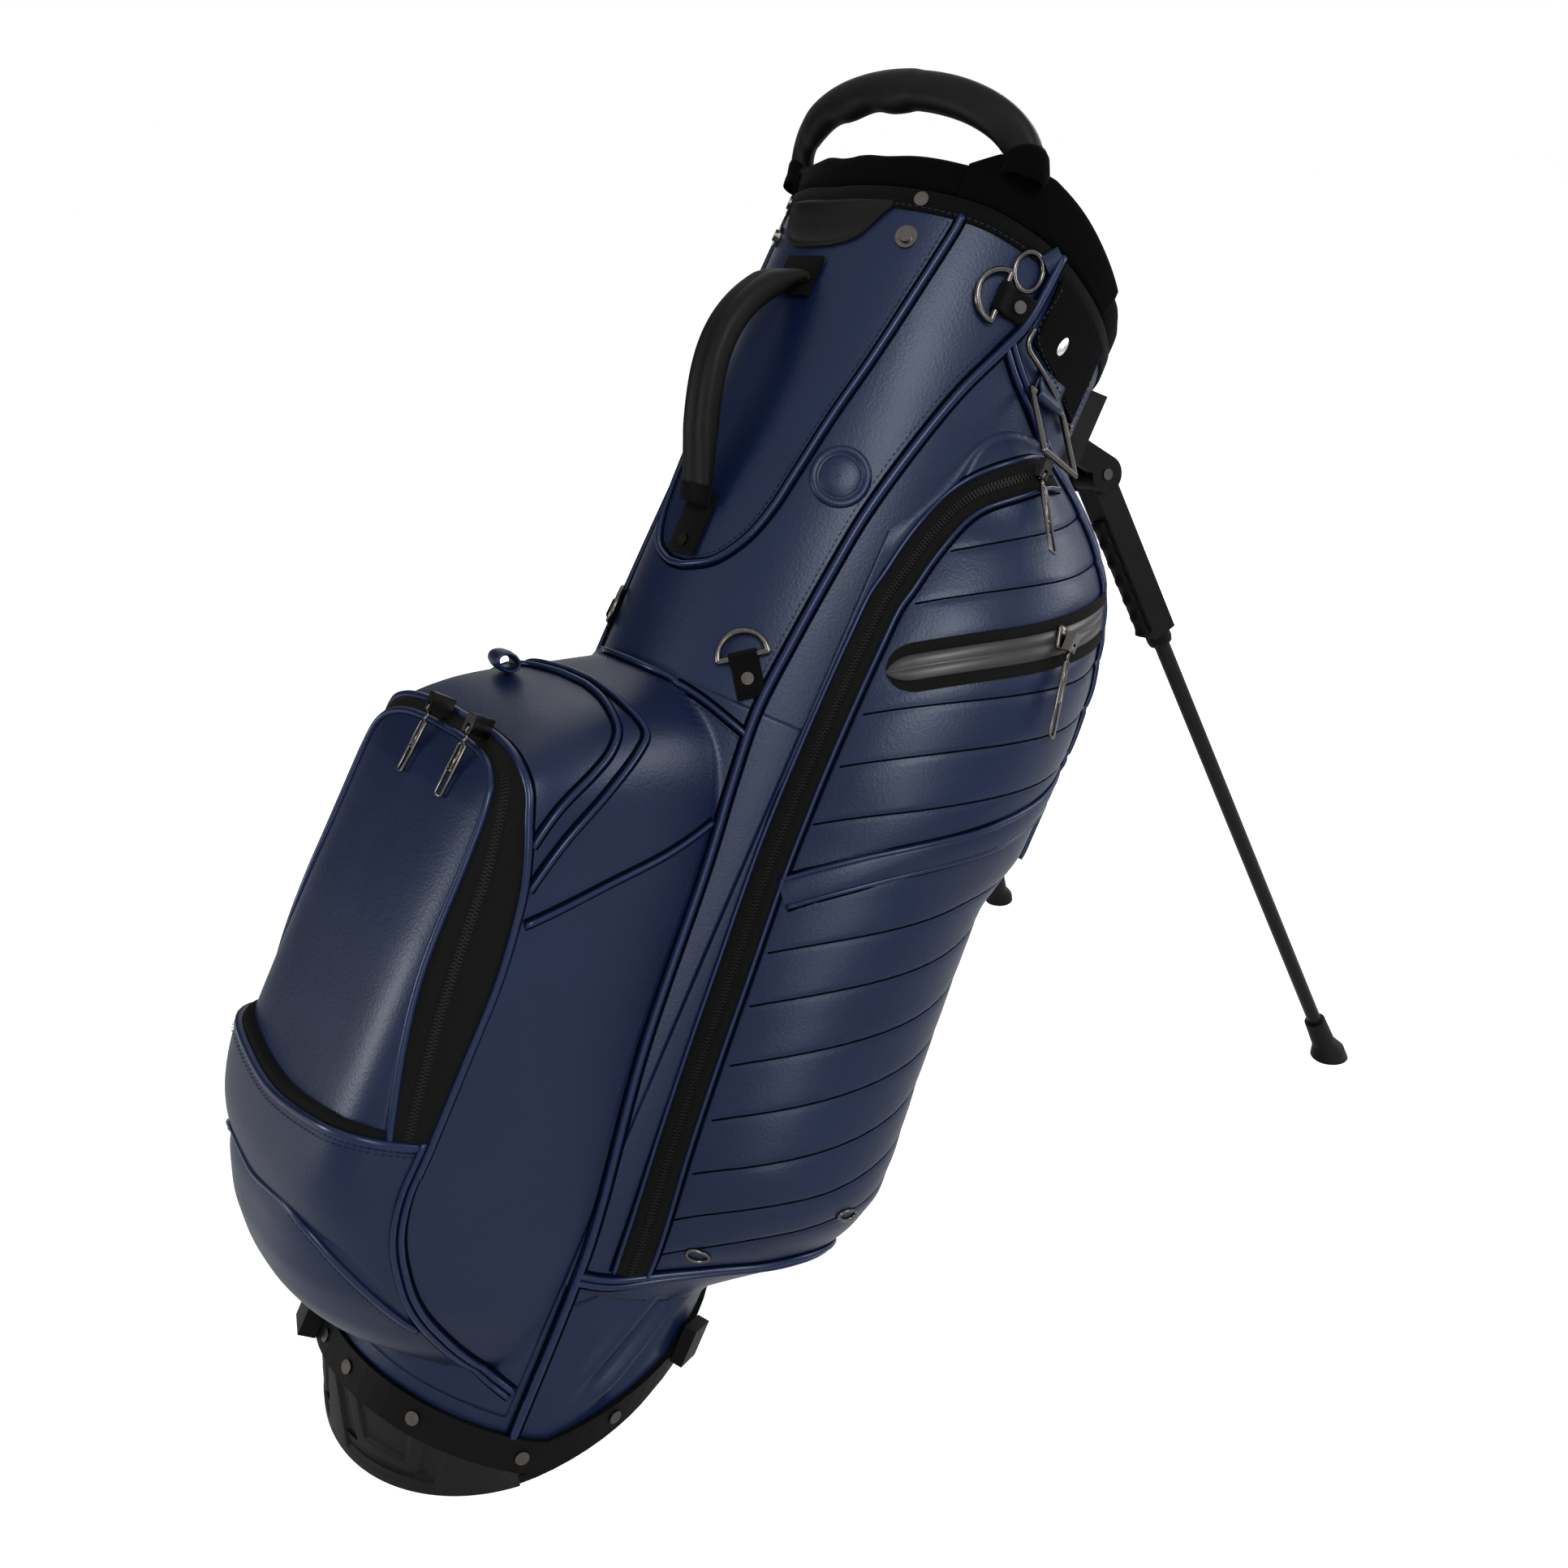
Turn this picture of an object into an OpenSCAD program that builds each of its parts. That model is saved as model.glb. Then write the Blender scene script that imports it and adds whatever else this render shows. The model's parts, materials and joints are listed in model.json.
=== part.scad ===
// Golf stand bag: leather tube with pockets, padded club mouth, hinged base and folding legs.
// The bag is drawn upright on its own axis (spine towards -X, legs towards +X) and then leaned
// onto its legs, as it stands on the floor. Angles round the bag start at the spine and grow
// towards -Y, and heights run up the bag's axis from the base.

/* [Bag tube] */
// Outside radius of the leather tube
tube_r = 121; // [112:1:128]
// Thickness of the leather panels
panel_t = 4; // [3:0.5:6]
// Height of the rim on the spine side
rim_h = 826; // [790:1:860]
// Lean of the bag on its stand, in degrees
lean = 34; // [30:0.5:36]

/* [Base] */
// Distance of the base hinge from the bag's axis, towards the spine
hinge_back = 35; // [25:1:45]
// Height of the bag's base plane over the floor at the hinge
base_lift = 18; // [17:0.5:24]
// Thickness of the foot plate
plate_t = 9; // [6:0.5:11]
// Highest part of the heel rim on the foot plate
heel_h = 22; // [14:1:26]
// Turn of the foot plate from standing to closed against the base, in degrees
foot_close = 28; // [22:1:29]
// Radius of the base hinge pin
base_pin_r = 3; // [2:0.5:4]
// Height of the black band round the base
band_h = 22; // [16:1:30]
// Thickness of the black band
band_t = 4; // [3:0.5:6]

/* [Club mouth] */
// Height of the padded cuff over the rim
cuff_h = 24; // [16:1:32]
// Thickness of the padded cuff
cuff_t = 17; // [12:1:20]
// Height of the divider frame
frame_h = 16; // [10:1:24]
// Width of the divider bars
bar_w = 9; // [6:1:12]
// Thickness of the full-length divider cloth
cloth_t = 2; // [1.5:0.5:3]

/* [Handles] */
// Rise of the top handle over the cuff
top_handle_rise = 33; // [28:1:44]
// Width of the top handle's grip
top_grip_w = 18; // [15:1:24]
// Depth of the top handle's grip
top_grip_d = 25; // [20:1:28]
// Stand-off of the carry handle from the leather
carry_off = 32; // [26:1:38]
// Width of the carry handle
carry_w = 27; // [22:1:32]
// Depth of the carry handle
carry_d = 17; // [13:1:20]

/* [Pockets] */
// Reach of the ball pocket's front from the bag's axis
ball_reach = 232; // [215:1:240]
// Half width of the ball pocket
ball_half_w = 107; // [100:1:112]
// Fullness of the apparel pockets over the leather tube
apparel_full = 82; // [60:1:90]
// Thickness of the pocket leather
pocket_t = 3; // [2:0.5:4]
// Fullness of the open slip pocket
slip_full = 14; // [11:1:18]
// Width of the zip tapes, in degrees round the bag
tape_deg = 5; // [5:5:10]

/* [Leg stand] */
// Leg pivot's distance outside the leather, towards the legs
pivot_out = 11; // [9:1:17]
// Leg pivot's distance from the bag's middle plane
pivot_y = 78; // [72:1:84]
// Leg pivot's distance below the rim of the spine side
pivot_drop = 69; // [62:1:90]
// Outward toe of each leg, in degrees
toe = 14.3; // [10:0.1:18]
// Swing of the legs from folded to standing, in degrees
swing = 56.8; // [50:0.1:60]
// Radius of the leg tubes
leg_r = 6; // [5:0.5:7]
// Radius of the leg pivot pins
pin_r = 4; // [3:0.5:5]
// Width of the moulded leg heads
head_w = 21; // [18:1:24]
// Length of the moulded leg heads
head_l = 138; // [110:1:150]
// Radius of the push rods
rod_r = 2.5; // [2:0.25:3]
// Distance of each push rod from the middle plane
rod_y = 24; // [18:1:30]

/* [Small metal] */
// Wire radius of the rings
wire_r = 2; // [1.5:0.25:2.5]
// Inside radius of the D-rings
ring_r = 14; // [11:1:16]
// Inside width of the rectangular strap ring
strap_ring_w = 34; // [28:1:40]
// Inside height of the rectangular strap ring
strap_ring_h = 44; // [36:1:50]
// Length of the ball pocket's zip pulls
pull_l = 42; // [30:1:50]
// Length of the side pockets' zip pulls
side_pull_l = 58; // [45:1:62]
// Width of the zip pulls
pull_w = 7; // [5:0.5:9]

/* [Fits] */
// Radial clearance of a turning pin
run_gap = 0.05; // [0.02:0.01:0.1]
// Gap between pieces that move past each other
slide_gap = 0.4; // [0.3:0.05:0.8]
// Gap where one solid is seated on another
seat_gap = 0.3; // [0.2:0.05:0.5]

/* [Node] */
// Names of the separate pieces
// Piece to draw

/* [Hidden] */
STEP = 5;
pivot_x = tube_r + pivot_out;
pivot_h = rim_h - pivot_drop;
// Heights in the tables below are drawn for a rim at 826, and grow with the rim
function up(h) = h * rim_h / 826;
function drawn(h) = h / up(1);
inner_r = tube_r - panel_t;
base_low = -2;
bevel_z = base_lift + base_low * cos(lean) - 0.2;
hinge_z = plate_t + 0.5;
ear_r = base_pin_r + 3;
leather = "#1d2742";
black = "#17181b";
charcoal = "#2a2b2f";
steel = "#6d6a66";

// Rim height round the bag: raised where the top handle stands, lower over the legs
RIM = [[0, 0], [20, 4], [50, 12], [75, 9], [90, 2], [110, -6], [130, -9], [180, -14]];
function rim(al) = rim_h + lookup(turn(al), RIM);
// Angle from the spine, 0 to 180
function turn(al) = let (m = abs(al) % 360) m > 180 ? 360 - m : m;
function around(al, r, h) = [-r * cos(al), -r * sin(al), h];
// Height on the bag's axis where a floor-parallel plane meets radius r at angle al
function level(al, r, z) = (z - base_lift + (hinge_back - r * cos(al)) * sin(lean)) / cos(lean);
function low(al, r) = max(base_low, level(al, r, bevel_z));
function range(a, b, n) = [for (i = [0:n]) a + (b - a) * i / n];
function steps(a, b) = [for (al = [a:STEP:b]) al];
ALL_ROUND = [for (al = [0:STEP:360 - STEP]) al];

// Shape of the ball pocket: reach of its front and squareness by height
BALL_TOP = up(500);
BALL_FRONT = [[30, -110], [46, -74], [73, -33], [95, -14], [120, -3], [150, 0], [300, 0], [400, -1],
    [416, -5], [430, -16], [445, -31], [460, -52], [474, -75], [488, -94], [500, -110]];
BALL_SIDE = [[30, -45], [46, -19], [60, -4], [95, 0], [146, 0.5], [279, -14], [381, -20.5], [420, -24],
    [445, -28], [470, -35], [488, -45], [500, -61]];
BALL_FLARE = [[60, -0.01], [146, -0.014], [279, 0.06], [381, 0.093], [430, 0.09], [470, 0.06], [500, 0]];
BALL_SQUARE = [[30, 2.2], [75, 2.6], [130, 4], [170, 6], [400, 6], [445, 4], [500, 3]];
BALL_STEPS = [30, 46, 60, 73, 95, 120, 150, 185, 240, 300, 360, 400, 416, 430, 445, 460, 474, 488, 500];
BALL_LEVELS = [for (h = BALL_STEPS) up(h)];
BALL_EDGE = 60;
PANEL_EDGE = 20;
GUSSET_EDGE = 30;
SLIP_TOP = up(185);
SLIP_LOW = up(95);
function ball_r(al, h) =
    let (
        t = drawn(h),
        n = lookup(t, BALL_SQUARE),
        front = cos(al) / (ball_reach + lookup(t, BALL_FRONT)),
        lean_in = abs(sin(al)) - lookup(t, BALL_FLARE) * cos(al),
        flank = max(0.01, lean_in) / (ball_half_w + lookup(t, BALL_SIDE))
    )
    max(tube_r + pocket_t + 0.5, pow(pow(front, n) + pow(flank, n), -1 / n));

// Shape of the apparel pockets: fullness by height, and the skewed crown round the bag
APPAREL_FROM = 60;
APPAREL_TO = 150;
APPAREL_TOP = up(745);
APPAREL_STEPS = [120, 132, 145, 160, 178, 200, 230, 280, 340, 400, 440, 462, 500, 560, 610, 650, 680, 705,
    725, 745];
APPAREL_LEVELS = [for (h = APPAREL_STEPS) up(h)];
APPAREL_FULL = [[130, 0], [143, 0.24], [176, 0.71], [209, 0.93], [236, 1.02], [266, 1], [314, 0.94],
    [374, 0.9], [441, 0.87], [465, 0.95], [482, 1], [563, 1], [600, 0.96], [652, 0.81], [681, 0.62],
    [705, 0.42], [725, 0.18], [740, 0]];
APPAREL_SKEW = 1.45;
function apparel_r(al, h) =
    let (
        s = min(1, max(0, (turn(al) - APPAREL_FROM - 2) / (APPAREL_TO - APPAREL_FROM - 4))),
        crown = pow(max(0, sin(180 * pow(s, APPAREL_SKEW))), 0.75)
    )
    tube_r + pocket_t + apparel_full * lookup(drawn(h), APPAREL_FULL) * crown;

// Closed solid between an outer and an inner surface over a grid of angles and levels.
// outer and inner give [radius, height] for an angle and a level; keep says which cells it has.
module skin(als, levels, outer, inner, keep = function(i, j) true, ring = false) {
    na = len(als);
    nl = len(levels);
    ca = ring ? na : na - 1;
    function has(i, j) = j >= 0 && j < nl - 1 && (ring || (i >= 0 && i < ca)) && keep((i + na) % na, j);
    function o(i, j) = (i % na) * nl + j;
    function n(i, j) = na * nl + (i % na) * nl + j;
    points = concat(
        [for (al = als) for (t = levels) let (p = outer(al, t)) around(al, p[0], p[1])],
        [for (al = als) for (t = levels) let (p = inner(al, t)) around(al, p[0], p[1])]
    );
    function quad(a, b, c, d) = [[a, b, c], [a, c, d]];
    faces = [for (i = [0:ca - 1]) for (j = [0:nl - 2]) if (has(i, j)) each concat(
        [[o(i, j), o(i, j + 1), o(i + 1, j + 1)], [o(i, j), o(i + 1, j + 1), o(i + 1, j)]],
        [[n(i, j), n(i + 1, j + 1), n(i, j + 1)], [n(i, j), n(i + 1, j), n(i + 1, j + 1)]],
        has(i - 1, j) ? [] : quad(n(i, j), n(i, j + 1), o(i, j + 1), o(i, j)),
        has(i + 1, j) ? [] : quad(n(i + 1, j), o(i + 1, j), o(i + 1, j + 1), n(i + 1, j + 1)),
        has(i, j - 1) ? [] : quad(n(i, j), o(i, j), o(i + 1, j), n(i + 1, j)),
        has(i, j + 1) ? [] : quad(n(i, j + 1), n(i + 1, j + 1), o(i + 1, j + 1), o(i, j + 1))
    )];
    polyhedron(points, faces, convexity = 8);
}

// Tube of oval section along a path: its width across, and its depth at each point of the path
module grip(path, across, wide, deep, sides = 10) {
    n = len(path);
    function dir(i) = let (d = path[min(i + 1, n - 1)] - path[max(i - 1, 0)]) d / norm(d);
    points = [for (i = [0:n - 1]) let (b = cross(dir(i), across)) for (k = [0:sides - 1])
        path[i] + across * wide / 2 * cos(360 * k / sides) + b * deep[i] / 2 * sin(360 * k / sides)];
    faces = concat(
        [[for (k = [0:sides - 1]) k]],
        [[for (k = [0:sides - 1]) (n - 1) * sides + sides - 1 - k]],
        [for (i = [0:n - 2]) for (k = [0:sides - 1]) let (m = (k + 1) % sides)
            each [[i * sides + k, (i + 1) * sides + k, (i + 1) * sides + m],
                [i * sides + k, (i + 1) * sides + m, i * sides + m]]]
    );
    polyhedron(points, faces, convexity = 4);
}

// From the bag's own upright frame to where it leans on its stand
module leaned() translate([0, 0, base_lift]) rotate([0, lean, 0]) translate([hinge_back, 0, 0]) children();
// A place on the leather: X points outwards, Y round the bag, Z up it
module on_bag(al, h, r = tube_r) translate(around(al, r, h)) rotate([0, 0, al + 180]) children();
// A pin along Y
module pin_y(r, l) rotate([90, 0, 0]) cylinder(r = r, h = l, center = true, $fn = 48);
// A leg pivot's frame on the bag: X points out from the bag, Y along the pin; side is -1 or 1
module pivot(side) translate([pivot_x, side * pivot_y, pivot_h]) rotate([0, 0, side * toe]) children();
// A standing leg's own frame: the leg hangs along -Z from its pivot
module leg(side) leaned() pivot(side) rotate([0, -swing, 0]) children();
// Length of a leg from pivot to floor
pivot_z = base_lift - (pivot_x + hinge_back) * sin(lean) + pivot_h * cos(lean);
leg_l = pivot_z / (sin(swing) * cos(toe) * sin(lean) + cos(swing) * cos(lean));

// Space inside the leather over the base floor, both in the bag's frame
module over_floor(lift) {
    reach = 2 * tube_r;
    tall = 2 * rim_h;
    intersection() {
        translate([-reach, -reach, base_low + lift]) cube([2 * reach, 2 * reach, tall]);
        translate([-hinge_back, 0, 0]) rotate([0, -lean, 0])
            translate([-tall, -reach, bevel_z - base_lift + lift]) cube([2 * tall, 2 * reach, tall]);
    }
}

module panel_patch(from, to) {
    levels = range(0, 1, 6);
    skin(steps(from, to), levels,
        function(al, t) [tube_r, low(al, tube_r) + 1 + t * (rim(al) - low(al, tube_r) - 1)],
        function(al, t) [inner_r, low(al, tube_r) + 1 + t * (rim(al) - low(al, tube_r) - 1)]);
}

// Leather tube
module spine_panel() color(leather) leaned() panel_patch(-60, 60);
module side_panel_right() color(leather) leaned() panel_patch(60, 150);
module side_panel_left() color(leather) leaned() panel_patch(-150, -60);
module belly_panel() color(leather) leaned() panel_patch(150, 210);

// Base
module base_band() color(black) leaned()
    skin(ALL_ROUND, [0, 1],
        function(al, t) [tube_r + band_t, low(al, tube_r + band_t) + t * band_h],
        function(al, t) [tube_r, low(al, tube_r + band_t) + t * band_h], ring = true);

floor_t = 5;
LUG_Y = [-88, 0, 88];
EAR_Y = [-44, 44];
lug_w = 14;
module base_floor() color(black) {
    leaned() difference() {
        intersection() {
            translate([0, 0, -20]) cylinder(r = inner_r - 0.5, h = 250, $fn = 96);
            over_floor(0);
        }
        over_floor(floor_t);
    }
    for (y = LUG_Y) difference() {
        union() {
            translate([0, y, hinge_z]) pin_y(ear_r, lug_w);
            translate([-ear_r, y - lug_w / 2, hinge_z]) cube([2 * ear_r, lug_w, base_lift - hinge_z + 3]);
        }
        translate([0, y, hinge_z]) pin_y(base_pin_r + run_gap, lug_w + 2);
    }
}
module base_hinge_pin() color(steel)
    translate([0, 0, hinge_z]) pin_y(base_pin_r, LUG_Y[2] - LUG_Y[0] + lug_w);

RIVETS = [8, 35, 69, 95];
module base_rivets() color(steel) leaned()
    for (al = RIVETS) for (side = [-1, 1])
        on_bag(side * al, low(al, tube_r + band_t) + band_h / 2, tube_r + band_t) rotate([0, 90, 0]) {
            cylinder(r = 4.5, h = 1.4, $fn = 32);
        }

module base_lugs() color(black) leaned() {
    for (side = [-1, 1]) on_bag(side * 120, low(120, tube_r) + band_h / 2, tube_r + band_t)
        translate([0, -14, 10 - band_h / 2]) cube([9, 28, 26]);
    on_bag(-20, base_low + band_h / 2, tube_r + band_t) translate([0, -13, -band_h / 2]) cube([12, 26, 30]);
}

// Foot plate outline on the floor, from the leaned tube's own section
function plate_point(al, r) =
    let (x = hinge_back - r * cos(al)) [x > 0 ? x / cos(lean) : x * 0.98, -r * sin(al)];
plate_r = tube_r - 6;
module plate_outline(r) polygon([for (al = ALL_ROUND) plate_point(al, r)]);
module heel_outline() difference() {
    intersection() {
        plate_outline(plate_r);
        translate([-2 * plate_r, -plate_r]) square([2 * plate_r - heel_from, 2 * plate_r]);
    }
    plate_outline(plate_r - 22);
}
// Space under the bag's base once the foot is closed against it, in the foot's own frame
heel_from = 30;
heel_gap = 1;
base_off = base_low + (base_lift - hinge_z) * cos(lean);
module closed_base(gap) translate([0, 0, hinge_z]) rotate([0, lean - foot_close, 0])
    translate([-3 * plate_r, -2 * plate_r, -3 * plate_r])
        cube([4 * plate_r, 4 * plate_r, 3 * plate_r + base_off - gap]);
module base_foot() color(black) {
    difference() {
        union() {
            linear_extrude(plate_t) plate_outline(plate_r);
            translate([0, -rod_y - 12, 0]) cube([plate_point(180, rod_x + 1)[0], 2 * rod_y + 24, plate_t]);
            intersection() {
                linear_extrude(heel_h) heel_outline();
                closed_base(heel_gap);
            }
            for (y = EAR_Y) {
                translate([0, y, hinge_z]) pin_y(ear_r, lug_w);
                translate([-ear_r, y - lug_w / 2, 1]) cube([2 * ear_r, lug_w, hinge_z - 1]);
            }
        }
        for (y = EAR_Y) translate([0, y, hinge_z]) pin_y(base_pin_r + run_gap, lug_w + 2);
        for (y = LUG_Y) translate([-ear_r - 3, y - lug_w / 2 - 1, 2])
            cube([2 * ear_r + 6, lug_w + 2, plate_t]);
        translate([0, 0, hinge_z]) pin_y(base_pin_r + slide_gap, 2 * tube_r);
    }
}

// Inside of the tube
STAYS = [50, 140];
stay_r = 4;
stay_low = low(STAYS[1], inner_r) + floor_t + 40;
module stay_rods() color(charcoal) leaned()
    for (al = STAYS) for (side = [-1, 1])
        on_bag(side * al, stay_low, inner_r - stay_r - 0.5)
            cylinder(r = stay_r, h = collar_h - stay_low, $fn = 24);

collar_h = rim_h - 75;
collar_top = rim_h - 16;
collar_t = 7;
module top_collar() color(black) leaned()
    skin(ALL_ROUND, [0, 1],
        function(al, t) [inner_r, collar_h + t * (collar_top - collar_h)],
        function(al, t) [inner_r - collar_t, collar_h + t * (collar_top - collar_h)], ring = true);

frame_r = inner_r - collar_t - 0.8;
CROSS_X = [-34, 34];
module divider_plan(r, w) intersection() {
    circle(r = r, $fn = 96);
    union() {
        square([2 * r, w], center = true);
        for (x = CROSS_X) translate([x, 0]) square([w, 2 * r], center = true);
    }
}
frame_low = collar_top - frame_h;
module club_dividers() color(black) leaned() translate([0, 0, frame_low]) linear_extrude(frame_h) {
    difference() {
        circle(r = frame_r, $fn = 96);
        circle(r = frame_r - 5, $fn = 96);
    }
    divider_plan(frame_r - 1, bar_w);
}
cloth_r = inner_r - 2 * stay_r - 2;
module divider_cloth() color(charcoal) leaned() intersection() {
    linear_extrude(frame_low - seat_gap) divider_plan(cloth_r, cloth_t);
    over_floor(floor_t + 1);
}

// Club mouth
cuff_in = tube_r - cuff_t;
module cuff_pad() color(black) leaned() {
    levels = [0, 0.25, 0.6, 0.85, 1];
    bulge = [[0, 0], [0.25, 1.4], [0.6, 0], [0.85, -2.6], [1, -6]];
    skin(ALL_ROUND, levels,
        function(al, t) [tube_r + lookup(t, bulge), rim(al) + 0.15 + t * cuff_h],
        function(al, t) [cuff_in - lookup(t, bulge), rim(al) + 0.15 + t * cuff_h], ring = true);
}
binding_t = 2;
binding_h = 12;
module rim_binding() color(charcoal) leaned()
    skin(ALL_ROUND, [0, 1],
        function(al, t) [tube_r + binding_t, rim(al) - binding_h * (1 - t)],
        function(al, t) [tube_r, rim(al) - binding_h * (1 - t)], ring = true);

module rim_snaps() color(steel) leaned() for (al = [-31, 31]) {
    on_bag(al, rim(al) - 6, tube_r + binding_t) rotate([0, 90, 0]) cylinder(r = 4.5, h = 1.6, $fn = 32);
    on_bag(al, rim(al) - 30, tube_r) rotate([0, 90, 0]) {
        cylinder(r = 7, h = 2, $fn = 32);
        cylinder(r = 4, h = 4, $fn = 32);
    }
}

BADGE = 25;
badge_h = 30;
function badge_edge(al, t) =
    rim(al) - binding_h - 1 - badge_h * (1 - t) * (0.6 + 0.4 * cos(al * 90 / BADGE));
module badge_patch() color(black) leaned()
    skin(steps(-BADGE, BADGE), [0, 1],
        function(al, t) [tube_r + 3, badge_edge(al, t)],
        function(al, t) [tube_r, badge_edge(al, t)]);

// Top handle: an arch from rim to rim across the spine side
top_end = 55;
top_foot_r = tube_r + 7;
top_foot_h = rim(top_end) + cuff_h + seat_gap;
top_out = 41;
module top_handle() color(charcoal) leaned() {
    s = sin(top_end) * top_foot_r;
    x = -cos(top_end) * top_foot_r;
    foot = top_foot_h + 3;
    arch = [for (a = [0:10:180])
        [x - top_out * sin(a), -s * cos(a), foot + top_handle_rise * pow(max(0, sin(a)), 0.78)]];
    path = concat([[x, -s, top_foot_h]], arch, [[x, s, top_foot_h]]);
    grip(path, [1, 0, 0], top_grip_w, [for (p = path) top_grip_d], 12);
}
module handle_sleeves() color(black) leaned() for (side = [-1, 1])
    on_bag(side * top_end, rim(top_end) - 22, tube_r + binding_t + seat_gap)
        translate([0, -17, 0]) cube([3, 34, 22 + cuff_h]);

// Carry handle on the spine
CARRY_LOW = up(598);
CARRY_HIGH = rim_h - 54;
tab_t = 2.5;
TAB_SPANS = [[CARRY_LOW - 24, CARRY_LOW + 18], [CARRY_HIGH - 24, CARRY_HIGH + 9]];
module carry_handle_tabs() color(black) leaned() for (h = TAB_SPANS)
    skin(steps(-10, 10), h,
        function(al, t) [tube_r + tab_t, t],
        function(al, t) [tube_r, t]);
// Stand-off by share of the handle's length: it stands out most above its middle, from flat ends
thin_end = 0.4;
function carry_out(t) = carry_off * pow(max(0, sin(180 * pow(t, 1.4))), 0.8);
module carry_handle() color(charcoal) leaned() {
    foot = -tube_r - tab_t - seat_gap;
    mid = (CARRY_LOW + CARRY_HIGH) / 2;
    half = (CARRY_HIGH - CARRY_LOW) / 2 - carry_d / 2;
    shares = [for (a = [0:10:180]) (1 - cos(a)) / 2];
    arch = [for (t = shares) [foot - carry_d * thin_end / 2 - carry_out(t), 0, mid + half * (2 * t - 1)]];
    deep = [for (t = shares) carry_d * min(1, thin_end + 2 * t, thin_end + 6 * (1 - t))];
    grip(concat(arch, [[foot, 0, mid + half]]), [0, 1, 0], carry_w, concat(deep, [carry_d * thin_end]), 12);
}
module tab_rivets() color(steel) leaned() {
    on_bag(0, CARRY_LOW - 16, tube_r + tab_t) rotate([0, 90, 0]) cylinder(r = 4.5, h = 1.6, $fn = 32);
    for (k = RINGS) ring_place(k) translate([-bar_out + tab_t, 0, -14]) rotate([0, 90, 0])
        cylinder(r = 4, h = 1.6, $fn = 32);
}
module magnet_buttons() color(leather) leaned() for (side = [-1, 1])
    on_bag(side * 41, up(652)) rotate([0, 90, 0]) difference() {
        cylinder(r = 15, h = 2.6, $fn = 48);
        translate([0, 0, 1.6]) cylinder(r = 11, h = 2, $fn = 48);
    }

// Ball pocket
function ball_wall(al, h) = max(tube_r, ball_r(al, h) - pocket_t);
module ball_pocket_body() color(leather) leaned()
    skin(steps(-BALL_EDGE, BALL_EDGE), BALL_LEVELS,
        function(al, h) [ball_r(al, h), h],
        function(al, h) [abs(al) >= BALL_EDGE || h <= BALL_LEVELS[0] || h >= BALL_TOP ? tube_r
            : ball_wall(al, h), h]);
overlay_t = 2;
BALL_PANEL = [for (h = BALL_LEVELS) if (h >= SLIP_TOP && h <= up(416)) h];
module ball_pocket_panel() color(leather) leaned()
    skin(steps(-PANEL_EDGE, PANEL_EDGE), BALL_PANEL,
        function(al, h) [ball_r(al, h) + overlay_t, h],
        function(al, h) [ball_r(al, h), h]);
GUSSET_LEVELS = [for (h = BALL_LEVELS) if (h >= SLIP_TOP && h <= up(430)) h];
module ball_zip_gusset() color(black) leaned() {
    als = steps(-GUSSET_EDGE, GUSSET_EDGE);
    edge = (GUSSET_EDGE - PANEL_EDGE) / STEP;
    skin(als, GUSSET_LEVELS,
        function(al, h) [ball_r(al, h) + 1, h],
        function(al, h) [ball_r(al, h), h],
        function(i, j) i < edge || i >= len(als) - 1 - edge || j == len(GUSSET_LEVELS) - 2);
}
SLIP_LEVELS = [for (h = BALL_LEVELS) if (h >= SLIP_LOW && h <= SLIP_TOP) h];
SLIP_EDGE = 30;
slip_wall = 2.5;
function slip_r(al, h) =
    let (t = (h - SLIP_LOW) / (SLIP_TOP - SLIP_LOW))
    ball_r(al, h) + slip_wall + (slip_full - slip_wall) * sqrt(t) * cos(al * 90 / SLIP_EDGE);
module slip_pocket() color(leather) leaned()
    skin(steps(-SLIP_EDGE, SLIP_EDGE), SLIP_LEVELS,
        function(al, h) [slip_r(al, h), h],
        function(al, h) [abs(al) >= SLIP_EDGE || h <= SLIP_LOW ? ball_r(al, h)
            : slip_r(al, h) - slip_wall, h]);
LOOP_AL = -12;
loop_out = 17;
LOOP_H = up(466);
module pull_loop() color(leather) leaned()
    on_bag(LOOP_AL, LOOP_H, ball_r(LOOP_AL, LOOP_H) + loop_out) rotate([90, 0, 0]) difference() {
        cylinder(r = 9, h = 16, center = true, $fn = 48);
        cylinder(r = 6, h = 20, center = true, $fn = 48);
    }

// Apparel pockets, one on each side
module apparel(side) {
    from = APPAREL_FROM + tape_deg;
    function sewn(al, h) =
        turn(al) <= from || turn(al) >= APPAREL_TO || h <= APPAREL_LEVELS[0] || h >= APPAREL_TOP;
    skin(side > 0 ? steps(from, APPAREL_TO) : steps(-APPAREL_TO, -from), APPAREL_LEVELS,
        function(al, h) [apparel_r(al, h), h],
        function(al, h) [sewn(al, h) ? tube_r : max(tube_r, apparel_r(al, h) - pocket_t), h]);
}
module apparel_pocket_right() color(leather) leaned() apparel(1);
module apparel_pocket_left() color(leather) leaned() apparel(-1);
TAPE_LEVELS = [for (h = APPAREL_LEVELS) if (h >= up(145) && h <= up(725)) h];
module apparel_tape(side) {
    to = APPAREL_FROM + tape_deg;
    skin(side > 0 ? steps(APPAREL_FROM, to) : steps(-to, -APPAREL_FROM), TAPE_LEVELS,
        function(al, h) [tube_r + 2, h],
        function(al, h) [tube_r, h]);
}
module apparel_tape_right() color(black) leaned() apparel_tape(1);
module apparel_tape_left() color(black) leaned() apparel_tape(-1);

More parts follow.
